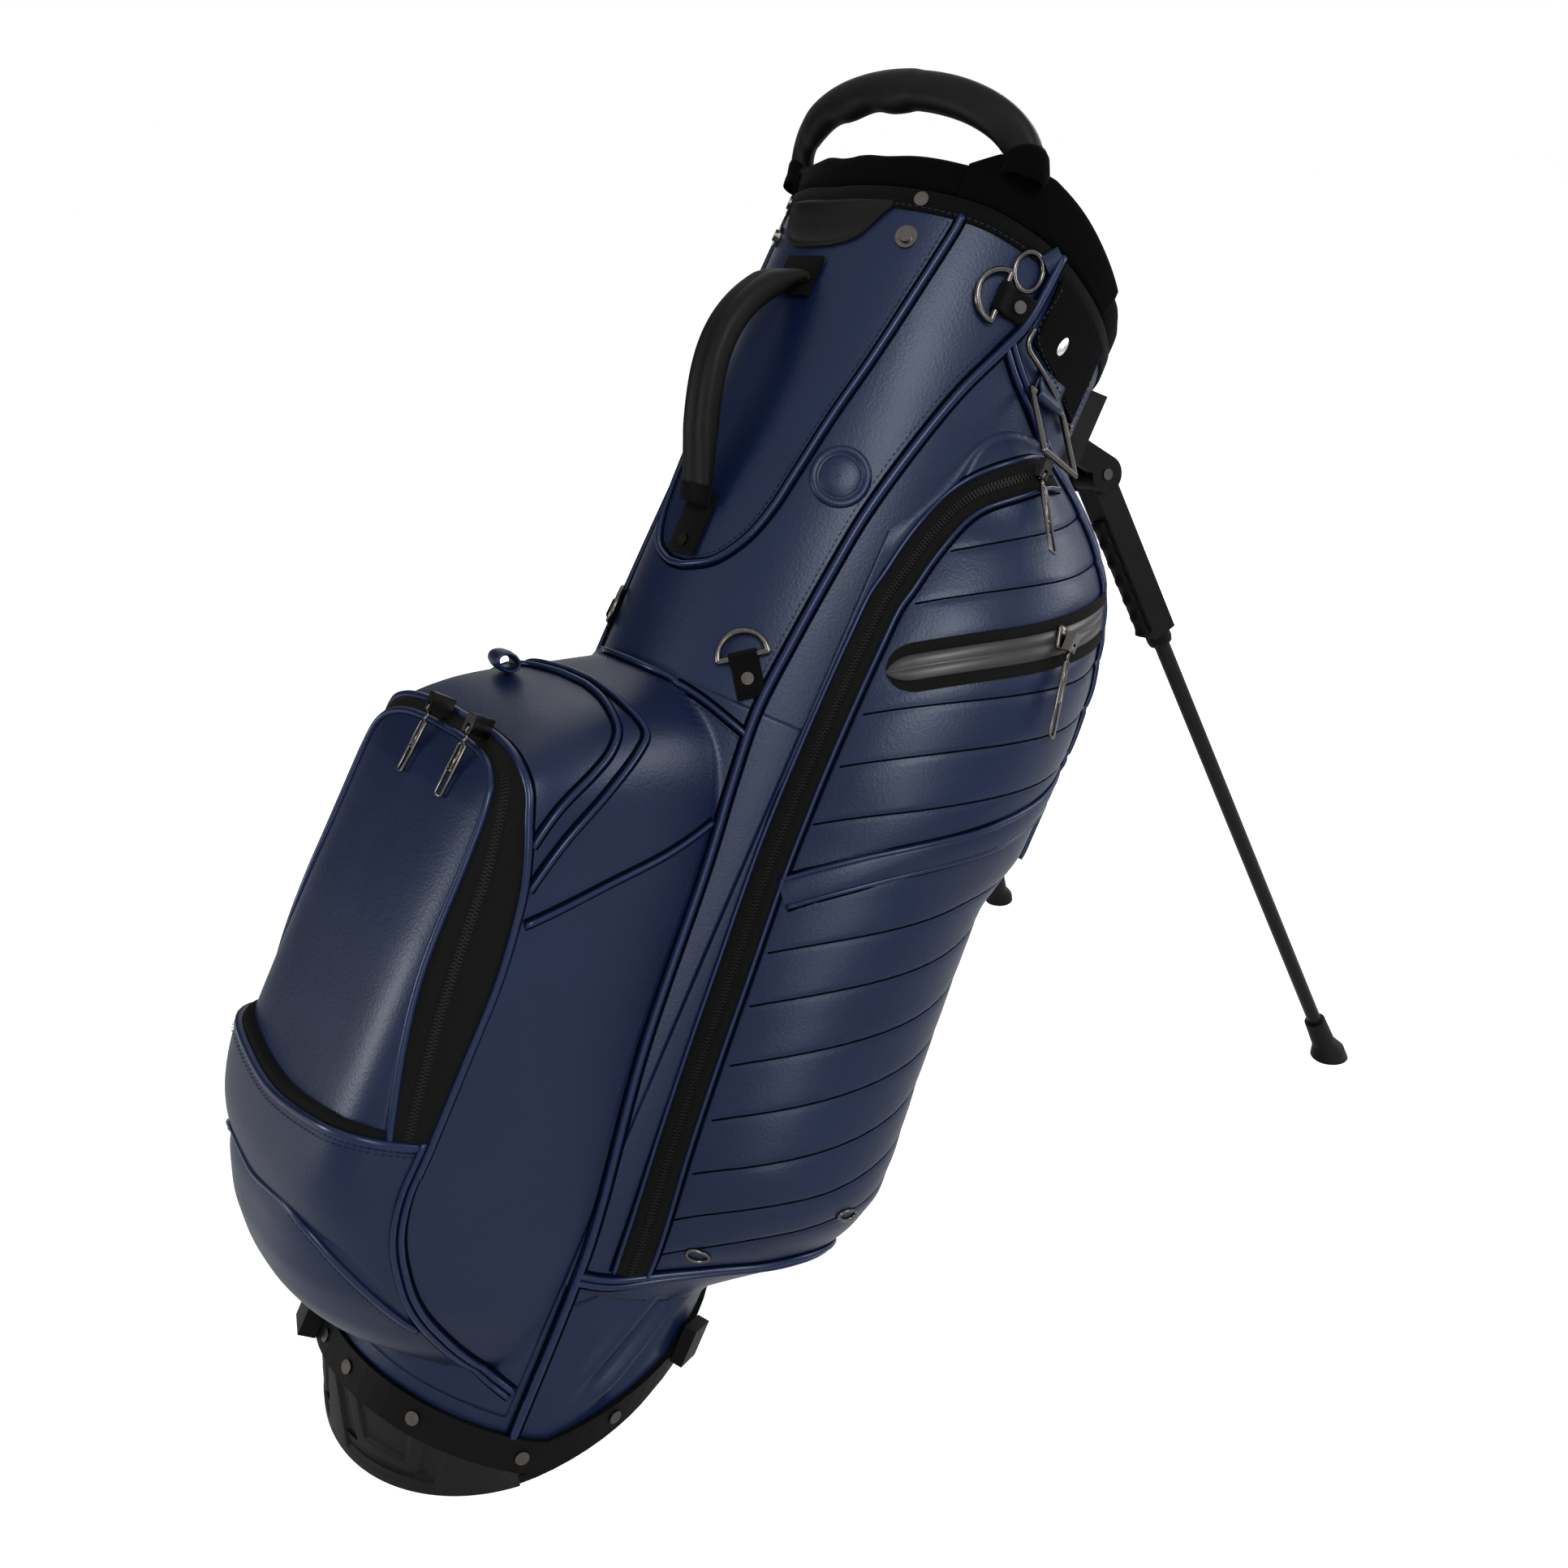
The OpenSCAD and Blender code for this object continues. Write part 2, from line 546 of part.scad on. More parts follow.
// Slanting zip welt of the valuables pocket, over the apparel pocket
WELT_FROM = 70;
WELT_TO = 125;
welt_w = 24;
function welt_h(al, t) = up(536) + (turn(al) - WELT_FROM) * 2.1 + t * welt_w;
module valuables_welt(side)
    skin(side > 0 ? steps(WELT_FROM, WELT_TO) : steps(-WELT_TO, -WELT_FROM), [0, 0.5, 1],
        function(al, t) [apparel_r(al, welt_h(al, t)) + 2.4, welt_h(al, t)],
        function(al, t) [apparel_r(al, welt_h(al, t)) + 0.8, welt_h(al, t)]);
module valuables_welt_right() color(black) leaned() valuables_welt(1);
module valuables_welt_left() color(black) leaned() valuables_welt(-1);

// D-rings: each has a bar through the loop of a webbing tab; angle, height and turn on the leather
RINGS = [[63, rim_h - 34, 90], [36, up(527), 35], [-36, up(527), -35]];
loop_t = 1.5;
bar_out = wire_r + slide_gap + loop_t + 0.1;
ring_m = ring_r + wire_r;
module ring_place(k) on_bag(k[0], k[1]) translate([bar_out, 0, 0]) rotate([k[2], 0, 0]) children();
module d_ring() {
    rotate([0, 90, 0]) rotate([0, 0, 90]) rotate_extrude(angle = 180, $fn = 64)
        translate([ring_m, 0]) circle(r = wire_r, $fn = 24);
    pin_y(wire_r, 2 * ring_m);
    for (y = [-ring_m, ring_m]) translate([0, y, 0]) sphere(r = wire_r, $fn = 24);
}
module ring_upper() color(steel) leaned() ring_place(RINGS[0]) d_ring();
module ring_mid_right() color(steel) leaned() ring_place(RINGS[1]) d_ring();
module ring_mid_left() color(steel) leaned() ring_place(RINGS[2]) d_ring();
module loop_tab(w, l) difference() {
    union() {
        translate([-bar_out + 0.1, -w / 2, -l]) cube([tab_t - 0.1, w, l]);
        pin_y(wire_r + slide_gap + loop_t, w);
    }
    pin_y(wire_r + slide_gap, w + 2);
}
module ring_tabs() color(black) leaned() for (k = RINGS) ring_place(k) loop_tab(18, 26);

// Flap with hook tape by the mouth, and the strap ring hanging below it, over the side zip's slider
SIDE_SLIDE = up(704);
STRAP = [92, SIDE_SLIDE + 50, 0];
FLAP_LOW = STRAP[1] + 18;
module glove_flap() color(leather) leaned()
    skin(steps(80, 105), [0, 1],
        function(al, t) [tube_r + 3, FLAP_LOW + (rim(al) - binding_h - 1 - FLAP_LOW) * t],
        function(al, t) [tube_r, FLAP_LOW + (rim(al) - binding_h - 1 - FLAP_LOW) * t]);
STRAP_TILT = 38;
module strap_tab() color(leather) leaned() ring_place(STRAP) rotate([180, 0, 0]) loop_tab(26, 16);
module strap_ring() color(steel) leaned() ring_place(STRAP) rotate([0, -STRAP_TILT, 0]) {
    half = strap_ring_w / 2 + wire_r;
    drop = strap_ring_h + 2 * wire_r;
    for (z = [0, -drop]) translate([0, 0, z]) pin_y(wire_r, 2 * half);
    for (y = [-half, half]) translate([0, y, -drop]) cylinder(r = wire_r, h = drop, $fn = 48);
    for (y = [-half, half]) for (z = [0, -drop]) translate([0, y, z]) sphere(r = wire_r, $fn = 24);
}

// Zip sliders and their pulls: angle, height, radius, slant of the pull, slider depth, pull length
eye_r = 0.6;
BALL_SLIDE = up(424);
WELT_SLIDE = up(612);
function ball_slider(al) = [al, BALL_SLIDE, ball_r(al, up(400)) + overlay_t + 2.5, 3, 11.6, pull_l];
function side_slider(al) = [al, SIDE_SLIDE, apparel_r(al, SIDE_SLIDE) + 5, 35, 3.6, side_pull_l];
SLIDERS = [ball_slider(-3), ball_slider(9), side_slider(89), side_slider(-89),
    [101, WELT_SLIDE, apparel_r(101, WELT_SLIDE) + 7, 12, 3.3, side_pull_l]];
module slider_place(k) on_bag(k[0], k[1], k[2]) children();
module zip_sliders() color(steel) leaned() for (k = SLIDERS) slider_place(k) {
    difference() {
        translate([-k[4], -4, -2]) cube([k[4] + 2.4, 8, 12]);
        translate([-2.2, -1.6, -3]) cube([8, 3.2, 6.5]);
    }
    pin_y(eye_r, 6);
}
module pull(k) slider_place(k) rotate([0, -k[3], 0]) {
    difference() {
        translate([-1, -1.2, -9]) cube([2, 2.4, 10.2]);
        pin_y(eye_r + run_gap, 4);
    }
    translate([-1, -pull_w / 2, -k[5]]) cube([2, pull_w, k[5] - 8.5]);
}
module ball_pull_a() color(steel) leaned() pull(SLIDERS[0]);
module ball_pull_b() color(steel) leaned() pull(SLIDERS[1]);
module apparel_pull_right() color(steel) leaned() pull(SLIDERS[2]);
module apparel_pull_left() color(steel) leaned() pull(SLIDERS[3]);
module valuables_pull() color(steel) leaned() pull(SLIDERS[4]);

// Leg stand
BRACKET_LOW = pivot_h - 9;
BRACKET_TOP = pivot_h + 43;
bracket_t = 12;
cheek_t = 6;
cheek_y = head_w / 2 + slide_gap + cheek_t / 2;
module leg_bracket() color(charcoal) leaned()
    skin(steps(135, 225), [BRACKET_LOW, BRACKET_TOP],
        function(al, t) [tube_r + bracket_t, t],
        function(al, t) [tube_r, t]);
module leg_clevises() color(charcoal) leaned() difference() {
    for (side = [-1, 1]) pivot(side) for (end = [-1, 1]) translate([0, end * cheek_y, 0]) {
        pin_y(13, cheek_t);
        translate([-45, -cheek_t / 2, -5]) cube([45, cheek_t, 18]);
    }
    for (side = [-1, 1]) pivot(side) pin_y(pin_r + 0.02, 4 * cheek_y);
    translate([0, 0, pivot_h - 2 * tube_r]) cylinder(r = tube_r + bracket_t + 0.05, h = 4 * tube_r, $fn = 96);
}
module leg_pins() color(steel) leaned() for (side = [-1, 1])
    pivot(side) pin_y(pin_r, 2 * cheek_y + cheek_t + 2);

module leg_head(side) leg(side) difference() {
    union() {
        pin_y(12, head_w);
        translate([-10, -head_w / 2, -head_l]) cube([20, head_w, head_l]);
    }
    pin_y(pin_r + run_gap, head_w + 2);
    translate([0, 0, -head_l - 1]) cylinder(r = leg_r + 0.02, h = head_l - 39, $fn = 48);
}
tip_l = 46;
module leg_tube(side) leg(side) translate([0, 0, -leg_l + 24])
    cylinder(r = leg_r, h = leg_l - 24 - 60, $fn = 48);
module leg_tip(side) difference() {
    leg(side) translate([0, 0, -leg_l - 16]) rotate_extrude($fn = 64)
        polygon([[0, 0], [15, 0], [15, 22], [10, 34], [9, 16 + tip_l], [leg_r + 0.02, 16 + tip_l],
            [leg_r + 0.02, 36], [0, 36]]);
    translate([0, -rim_h, -2 * tip_l]) cube([2 * rim_h, 2 * rim_h, 2 * tip_l]);
}
module leg_head_right() color(charcoal) leg_head(-1);
module leg_head_left() color(charcoal) leg_head(1);
module leg_tube_right() color(steel) leg_tube(-1);
module leg_tube_left() color(steel) leg_tube(1);
module leg_tip_right() color(black) leg_tip(-1);
module leg_tip_left() color(black) leg_tip(1);

// Push rods up the belly, from the foot plate to the legs
rod_x = tube_r + 7;
rod_low = level(180, rod_x, plate_t + slide_gap + 1 + rod_r);
rod_top = BRACKET_LOW - 14;
rod_travel = 70;
GUIDES = range(rod_low + 156, rod_top - rod_travel - 22, 2);
cross_r = rod_r - 0.4;
module push_rods() color(steel) leaned() translate([rod_x, 0, 0]) {
    for (y = [-rod_y, rod_y]) translate([0, y, rod_low - rod_r])
        cylinder(r = rod_r, h = rod_top - rod_low + 2 * rod_r, $fn = 48);
    translate([0, 0, rod_low + 1]) pin_y(cross_r, 2 * rod_y);
    translate([0, 0, rod_top]) pin_y(cross_r, 2 * (rod_y + 28));
}
module rod_guides() color(black) leaned() difference() {
    for (h = GUIDES) for (y = [-rod_y, rod_y])
        translate([rod_x - 20, y - 6, h - 9]) cube([20 + rod_r + 3, 12, 18]);
    cylinder(r = tube_r + 0.05, h = rim_h, $fn = 96);
    for (y = [-rod_y, rod_y]) translate([rod_x, y, 0]) cylinder(r = rod_r + 0.1, h = rim_h, $fn = 48);
}

spine_panel();
side_panel_right();
side_panel_left();
belly_panel();
base_band();
base_floor();
base_hinge_pin();
base_rivets();
base_lugs();
base_foot();
stay_rods();
top_collar();
club_dividers();
divider_cloth();
cuff_pad();
rim_binding();
rim_snaps();
badge_patch();
top_handle();
handle_sleeves();
carry_handle();
carry_handle_tabs();
tab_rivets();
magnet_buttons();
ball_pocket_body();
ball_pocket_panel();
ball_zip_gusset();
slip_pocket();
pull_loop();
apparel_pocket_right();
apparel_pocket_left();
apparel_tape_right();
apparel_tape_left();
valuables_welt_right();
valuables_welt_left();
ring_tabs();
glove_flap();
strap_tab();
leg_bracket();
leg_clevises();
leg_pins();
rod_guides();
zip_sliders();
push_rods();
leg_head_right();
leg_tube_right();
leg_tip_right();
leg_head_left();
leg_tube_left();
leg_tip_left();
ring_upper();
ring_mid_right();
ring_mid_left();
strap_ring();
ball_pull_a();
ball_pull_b();
apparel_pull_right();
apparel_pull_left();
valuables_pull();
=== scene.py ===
import json
import math
from types import SimpleNamespace

import bpy
import numpy as np
from mathutils import Matrix, Vector

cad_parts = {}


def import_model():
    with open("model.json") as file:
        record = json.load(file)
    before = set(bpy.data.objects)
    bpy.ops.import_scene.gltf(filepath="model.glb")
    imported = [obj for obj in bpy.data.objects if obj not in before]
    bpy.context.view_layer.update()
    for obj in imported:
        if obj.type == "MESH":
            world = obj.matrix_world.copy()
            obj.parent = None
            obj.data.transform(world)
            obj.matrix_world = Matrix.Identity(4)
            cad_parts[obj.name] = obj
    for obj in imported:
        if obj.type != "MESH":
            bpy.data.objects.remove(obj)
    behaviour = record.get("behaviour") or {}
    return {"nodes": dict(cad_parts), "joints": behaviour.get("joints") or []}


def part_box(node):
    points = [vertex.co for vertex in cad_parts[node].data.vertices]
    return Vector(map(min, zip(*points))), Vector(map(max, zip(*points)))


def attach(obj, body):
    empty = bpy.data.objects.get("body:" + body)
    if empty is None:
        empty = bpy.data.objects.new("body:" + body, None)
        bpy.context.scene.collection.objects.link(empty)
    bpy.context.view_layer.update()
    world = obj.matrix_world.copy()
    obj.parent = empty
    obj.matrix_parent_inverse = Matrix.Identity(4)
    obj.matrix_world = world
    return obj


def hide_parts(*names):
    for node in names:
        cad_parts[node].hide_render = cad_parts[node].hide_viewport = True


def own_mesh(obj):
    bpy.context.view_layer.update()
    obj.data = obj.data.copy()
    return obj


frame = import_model()

bl_info = {
    "name": "Golf stand bag",
    "version": (1, 0, 0),
    "blender": (4, 5, 0),
    "location": "View3D > Sidebar > Stand bag",
    "description": "Builds the leather, trim and hardware of a golf stand bag on its CAD frame",
    "category": "Object",
}

# Sizes of the bag, in millimetres and degrees, as in the CAD
LEAN = math.radians(34)
HINGE_BACK = 35.0
LIFT = 18.0
TUBE_R = 121.0
CUFF_H = 24.0
# Angles and heights that the pockets' leather spans, and how far a side pocket stands out
BALL_TURN, BALL_SPAN = (-60, 60), (30, 500)
SIDE_TURN, SIDE_SPAN = (60, 150), (122, 744)
SIDE_BACK, SIDE_OUT = 148.5, 82
# Folds in the skirt: angle and height where each starts, rise per degree, and its slant
FOLDS, FOLD_RISE, FOLD_SLANT = ((79, 45), (91, 62), (100, 92)), 4.7, 2.44
NODES = frame["nodes"]


# Small helpers

def circle(n):
    """Evenly spaced angles of one turn."""
    return np.linspace(0, 2 * np.pi, n, endpoint=False)


def squarer(v, power):
    """A sine or cosine to a power below one, which squares off a ring."""
    return math.copysign(abs(v) ** power, v)


def directions(p):
    """Unit directions along a row of points."""
    t = np.gradient(p, axis=0)
    return t / np.linalg.norm(t, axis=1, keepdims=True)


def lengths(p):
    """Length along a row of points, from the first to each."""
    return np.concatenate([[0], np.cumsum(np.linalg.norm(np.diff(p, axis=0), axis=1))])


def resample(x, s, p):
    """Points of a row, known at s, read at x."""
    return np.stack([np.interp(x, s, column) for column in p.T], -1)


# Shape of the bag

def curve(keys, blur=6.0):
    """Smooth function through (x, y) keys."""
    keys = sorted(keys)
    x = np.arange(keys[0][0] - 80, keys[-1][0] + 80, 1.0)
    y = np.interp(x, [k[0] for k in keys], [k[1] for k in keys])
    t = np.arange(-4 * blur, 4 * blur + 1)
    g = np.exp(-0.5 * (t / blur) ** 2)
    g /= g.sum()
    pad = len(t) // 2
    y = np.convolve(np.pad(y, pad, mode="edge"), g, mode="valid")
    return lambda v: np.interp(v, x, y)


def soft_max(a, b, k):
    """The larger of two values, rounded over where they meet."""
    d = np.clip(0.5 + 0.5 * (a - b) / k, 0, 1)
    return b + (a - b) * d + k * d * (1 - d) * 0.5


def turn(al):
    """Angle from the spine, the same on both sides."""
    m = np.abs(al) % 360
    return np.where(m > 180, 360 - m, m)


RIM = curve([(0, 826), (20, 830), (50, 838), (75, 835), (90, 828), (110, 820), (130, 817), (180, 812)], 5)
BALL_FRONT = curve([(38, 116), (46, 142), (56, 178), (73, 203), (95, 219), (120, 229), (150, 232),
                    (300, 233), (400, 231), (416, 227), (430, 216), (445, 201), (460, 180), (474, 157),
                    (488, 138), (500, 122)], 4)
BALL_SIDE = curve([(30, 62), (46, 88), (60, 103), (95, 107), (146, 107.5), (279, 93), (381, 86.5),
                   (420, 83), (445, 79), (470, 72), (488, 62), (500, 46)], 7)
BALL_SQUARE = curve([(30, 2.4), (75, 2.8), (130, 4.2), (170, 6.5), (400, 6.5), (445, 5), (500, 3.5)], 8)
BALL_FLARE = curve([(60, -0.01), (146, -0.014), (279, 0.06), (381, 0.093), (430, 0.09), (470, 0.06),
                    (500, 0.0)], 10)
APPAREL_FULL = curve([(126, 0), (143, 0.24), (176, 0.71), (209, 0.93), (236, 1.02), (266, 1), (314, 0.94),
                      (374, 0.9), (441, 0.87), (465, 0.95), (482, 1), (563, 1), (600, 0.96), (652, 0.81),
                      (681, 0.62), (705, 0.42), (725, 0.18), (740, 0)], 5)
APPAREL_EDGE = curve([(120, 72.5), (139, 72), (240, 68.5), (334, 65.2), (447, 61.7), (571, 62.2),
                      (607, 63.8), (647, 68.4), (677, 75.7), (700, 83), (712, 90), (728, 104),
                      (745, 118)], 5)
# Quilt lines of the side pockets: height where each starts by the zip
QUILT = [155, 184, 217, 253, 289, 328, 363, 447, 486, 521, 596, 635]
# Zip welt and lower welt of a side pocket: angle and height where each starts, and rise per degree
WELT = (72, 552, 2.12)
LOW_WELT = (74, 410, 2.6)


def quilt_line(h0):
    """Start angle and rise per degree of a quilt line."""
    return float(APPAREL_EDGE(h0)) + 8, 1.9 + (600 - h0) * 0.0011


def level(al, r, z):
    """Height on the bag where a plane parallel to the floor meets radius r."""
    return (z - LIFT + (HINGE_BACK - r * np.cos(np.radians(al))) * math.sin(LEAN)) / math.cos(LEAN)


def low(al, r):
    """Height of the tube's lower edge, cut level with the floor under the belly."""
    return np.maximum(-2.0, level(al, r, 16.0))


def wave(al, h, seed, size):
    """Slow unevenness of a soft surface."""
    a = np.radians(al)
    k = seed * 1.7
    return size * (np.sin(3 * a + h * 0.013 + k) + np.sin(5 * a - h * 0.021 + 2.1 * k)
                   + 0.6 * np.sin(9 * a + h * 0.034 + 0.7 * k)) / 2.6


def tube_r(al, h):
    """Leather tube, with slanting folds in the skirt under the side pockets."""
    t = turn(al)
    folds = 0
    for a0, h0 in FOLDS:
        d = (h - h0 - FOLD_RISE * (t - a0)) / FOLD_SLANT
        folds = folds + 4.4 * np.exp(-((d - 9) / 8) ** 2) - 4.2 * np.exp(-(d / 6) ** 2)
    shown = np.clip((t - 74) / 6, 0, 1) * np.clip((116 - t) / 8, 0, 1) * np.clip((h - 42) / 20, 0, 1)
    return TUBE_R + wave(al, h, 1, 0.5) + folds * shown * np.clip((160 - h) / 20, 0, 1)


def seam_r(al, h):
    """Where the long seam lies: 2 mm off the tube, or on its folds where they stand higher."""
    return np.maximum(tube_r(al, h), TUBE_R + 2.0)


def ball_r(al, h):
    """Ball pocket: a squared oval that flares with height and runs out onto the tube."""
    a = np.radians(al)
    c = np.maximum(np.cos(a), 0.05)
    s = np.maximum(np.abs(np.sin(a)) - BALL_FLARE(h) * c, 0.02)
    n = BALL_SQUARE(h)
    r = ((c / BALL_FRONT(h)) ** n + (s / BALL_SIDE(h)) ** n) ** (-1 / n)
    return soft_max(r, TUBE_R + 1.5 + 0 * r, 3.0) + wave(al, h, 2, 0.8)


def tail_r(al, h):
    """Side of the ball pocket, eased where it runs out onto the tube."""
    return np.maximum(ball_r(al, h), np.mean([ball_r(al, h + d) for d in (-14, -7, 0, 7, 14)], axis=0))


def apparel_plain(al, h):
    """Side pocket without its quilting."""
    t = turn(al)
    # fuller under the upper end of the zip, where its slider sits
    end = np.exp(-((t - 89) / 13) ** 2 - ((h - 702) / 24) ** 2)
    left = APPAREL_EDGE(h) * (1 - end) + 64 * end
    s = np.clip((t - left) / (SIDE_BACK - left), 0, 1)
    crown = np.sin(np.pi * s ** 1.4) ** 0.72
    # past its upper edges the leather tucks in under the tube's
    tuck = np.clip((left - 3 - t) / 4, 0, 1) * np.clip((h - 620) / 30, 0, 1) + np.clip((h - 734) / 8, 0, 1)
    return TUBE_R + 2.5 - 5 * np.minimum(tuck, 1) + SIDE_OUT * APPAREL_FULL(h) * crown


def apparel_plain_r(al, h):
    """Where the zip tape lies on a side pocket."""
    return apparel_plain(al, h) + 0.4


def apparel_r(al, h):
    """Side pocket with its quilt lines and the hollows of its welts."""
    t = turn(al)
    r = apparel_plain(al, h)
    left = APPAREL_EDGE(h)
    fade = np.clip((t - left - 7) / 6, 0, 1) * np.clip((150 - t) / 14, 0, 1) * np.clip((h - 140) / 25, 0, 1)
    dent = 0
    for q in QUILT:
        a0, rise = quilt_line(q)
        d = np.abs(h - q - rise * (t - a0))
        dent = dent - 1.1 * np.exp(-(d / 1.6) ** 2) + 0.3 * np.exp(-((d - 12) / 9) ** 2)
    for a0, h0, rise, wide, deep in ((*WELT, 17, 1.2), (*LOW_WELT, 13, 1.4)):
        d = np.abs(h - h0 - rise * (t - a0))
        dent = dent - deep * np.exp(-(d / wide) ** 6) * np.clip((t - a0 + 4) / 3, 0, 1)
    return r + fade * dent + wave(al, h, 3, 1.0) * fade


def side_r(al, h):
    """Outermost of the tube and a side pocket."""
    t, h = turn(al), np.asarray(h, float)
    pocket = (t > SIDE_TURN[0]) & (t < SIDE_TURN[1]) & (h > SIDE_SPAN[0]) & (h < SIDE_SPAN[1])
    return np.maximum(tube_r(al, h), np.where(pocket, apparel_r(al, h), 0))


def skin(radius, al, h, lift=0.0):
    """Points on a surface in the bag's frame, raised along its normal."""
    al, h = np.broadcast_arrays(np.asarray(al, float), np.asarray(h, float))

    def at(x, y):
        r = radius(x, y)
        a = np.radians(x)
        return np.stack([-r * np.cos(a), -r * np.sin(a), y + 0 * r], -1)
    n = np.cross(at(al + 0.3, h) - at(al - 0.3, h), at(al, h + 0.6) - at(al, h - 0.6))
    n /= np.linalg.norm(n, axis=-1, keepdims=True)
    return at(al, h) + n * np.asarray(lift)[..., None], n


def world(p):
    """From the bag's frame in millimetres to the row frame in metres."""
    p = np.asarray(p, float)
    u = p[..., 0] + HINGE_BACK
    c, s = math.cos(LEAN), math.sin(LEAN)
    return np.stack([u * c + p[..., 2] * s, p[..., 1], p[..., 2] * c - u * s + LIFT], -1) / 1000


def spin(v):
    """A direction from the bag's frame to the row frame."""
    c, s = math.cos(LEAN), math.sin(LEAN)
    return np.stack([v[..., 0] * c + v[..., 2] * s, v[..., 1], v[..., 2] * c - v[..., 0] * s], -1)


def smooth_path(points, step=3.0, scale=(2.1, 1.0)):
    """Catmull-Rom through the points, at even steps; scale makes degrees and heights comparable."""
    p = np.asarray(points, float)
    q = np.vstack([2 * p[0] - p[1], p, 2 * p[-1] - p[-2]])
    out = []
    for i in range(1, len(q) - 2):
        t = np.linspace(0, 1, 24, endpoint=False)[:, None]
        a, b, c, d = q[i - 1], q[i], q[i + 1], q[i + 2]
        out.append(0.5 * (2 * b + (c - a) * t + (2 * a - 5 * b + 4 * c - d) * t ** 2
                          + (3 * b - a - 3 * c + d) * t ** 3))
    out = np.vstack(out + [p[-1:]])
    k = np.ones(p.shape[1])
    k[:len(scale)] = scale
    s = lengths(out * k)
    n = max(2, int(s[-1] / step))
    return resample(np.linspace(0, s[-1], n + 1), s, out)


# Mesh building

def mesh_object(name, verts, faces, uvs=None, smooth=True):
    """A linked object from points and faces, with UVs per point."""
    me = bpy.data.meshes.new(name)
    me.from_pydata([tuple(v) for v in verts], [], [tuple(f) for f in faces])
    if uvs is not None:
        layer = me.uv_layers.new(name="UVMap")
        loops = np.empty(len(me.loops), int)
        me.loops.foreach_get("vertex_index", loops)
        layer.data.foreach_set("uv", np.asarray(uvs, np.float32)[loops].ravel())
    if smooth:
        me.polygons.foreach_set("use_smooth", [True] * len(me.polygons))
    me.update()
    ob = bpy.data.objects.new(name, me)
    bpy.context.scene.collection.objects.link(ob)
    return ob


def grid(name, pts, wrap_i=False, wrap_j=False, uv=None, caps=False):
    """Quads over an array of points (i, j), already in the row frame."""
    ni, nj = pts.shape[:2]
    faces = []
    for i in range(ni if wrap_i else ni - 1):
        for j in range(nj if wrap_j else nj - 1):
            a, b = i % ni, (i + 1) % ni
            c, d = j % nj, (j + 1) % nj
            faces.append((a * nj + c, b * nj + c, b * nj + d, a * nj + d))
    if caps:
        faces.append(tuple(range(nj)))
        faces.append(tuple((ni - 1) * nj + j for j in reversed(range(nj))))
    if uv is None:
        uv = np.stack(np.meshgrid(np.arange(ni) * 0.004, np.arange(nj) * 0.004, indexing="ij"), -1)
    return mesh_object(name, pts.reshape(-1, 3), faces, uv.reshape(-1, 2))


def thicken(ob, t, offset=-1.0):
    """Gives a sheet a thickness in millimetres, inwards unless offset says otherwise."""
    m = ob.modifiers.new("Thickness", "SOLIDIFY")
    m.thickness = t / 1000
    m.offset = offset
    m.use_quality_normals = True
    return ob


def patch(name, radius, als, hs, lift=0.0, thick=3.0, rows=None):
    """A leather patch over angles and heights; hs may be a function of (angles, share), over rows."""
    al = np.asarray(als, float)[:, None]
    if callable(hs):
        h = hs(al, np.linspace(0, 1, rows)[None, :])
    else:
        h = np.asarray(hs, float)[None, :]
    al, h = np.broadcast_arrays(al, h)
    p, _ = skin(radius, al, h, lift)
    uv = np.stack([np.radians(al) * 0.121, h / 1000], -1)
    return thicken(grid(name, world(p), uv=uv), thick)


def strip(name, radius, path, profile, closed=False, taper=None):
    """A band along a path on a surface, with a cross-section of (across, lift) points; taper narrows it."""
    path = np.asarray(path, float)
    p, n = skin(radius, path[:, 0], path[:, 1])
    b = np.cross(n, directions(p))
    prof = np.asarray(profile, float)
    wide = np.ones(len(p)) if taper is None else np.asarray(taper)
    pts = p[:, None] + b[:, None] * prof[None, :, :1] * wide[:, None, None] + n[:, None] * prof[None, :, 1:]
    uv = np.stack(np.meshgrid(lengths(p) / 1000, lengths(prof) / 1000, indexing="ij"), -1)
    return grid(name, world(pts)[:, ::-1], uv=uv[:, ::-1], wrap_j=closed, caps=closed)


def tube_along(name, pts, radius, sides=10, up=None, caps=True, wrap=False):
    """A swept tube in the row frame; radius is a number, (wide, deep) or a list per point, in metres."""
    pts = np.asarray(pts, float)
    n = len(pts)
    if wrap:
        t = np.roll(pts, -1, 0) - np.roll(pts, 1, 0)
    else:
        t = np.gradient(pts, axis=0)
    t /= np.linalg.norm(t, axis=1, keepdims=True)
    # without an up direction, one that no cord runs along
    u = np.asarray(up if up is not None else (0.31, 0.52, 0.8), float)
    u = np.broadcast_to(u, pts.shape).copy()
    u -= t * np.sum(u * t, axis=1, keepdims=True)
    u /= np.linalg.norm(u, axis=1, keepdims=True)
    v = np.cross(t, u)
    rad = np.asarray(radius, float)
    if rad.ndim == 0:
        rad = np.full((n, 2), float(rad))
    elif rad.ndim == 1 and len(rad) == 2 and n != 2:
        rad = np.broadcast_to(rad, (n, 2))
    elif rad.ndim == 1:
        rad = np.stack([rad, rad], -1)
    a = circle(sides)
    ring = (u[:, None] * np.cos(a)[None, :, None] * rad[:, :1, None]
            + v[:, None] * np.sin(a)[None, :, None] * rad[:, 1:, None])
    uv = np.stack(np.meshgrid(lengths(pts), a * rad.mean(), indexing="ij"), -1)
    return grid(name, (pts[:, None] + ring), wrap_i=wrap, wrap_j=True, uv=uv, caps=caps and not wrap)


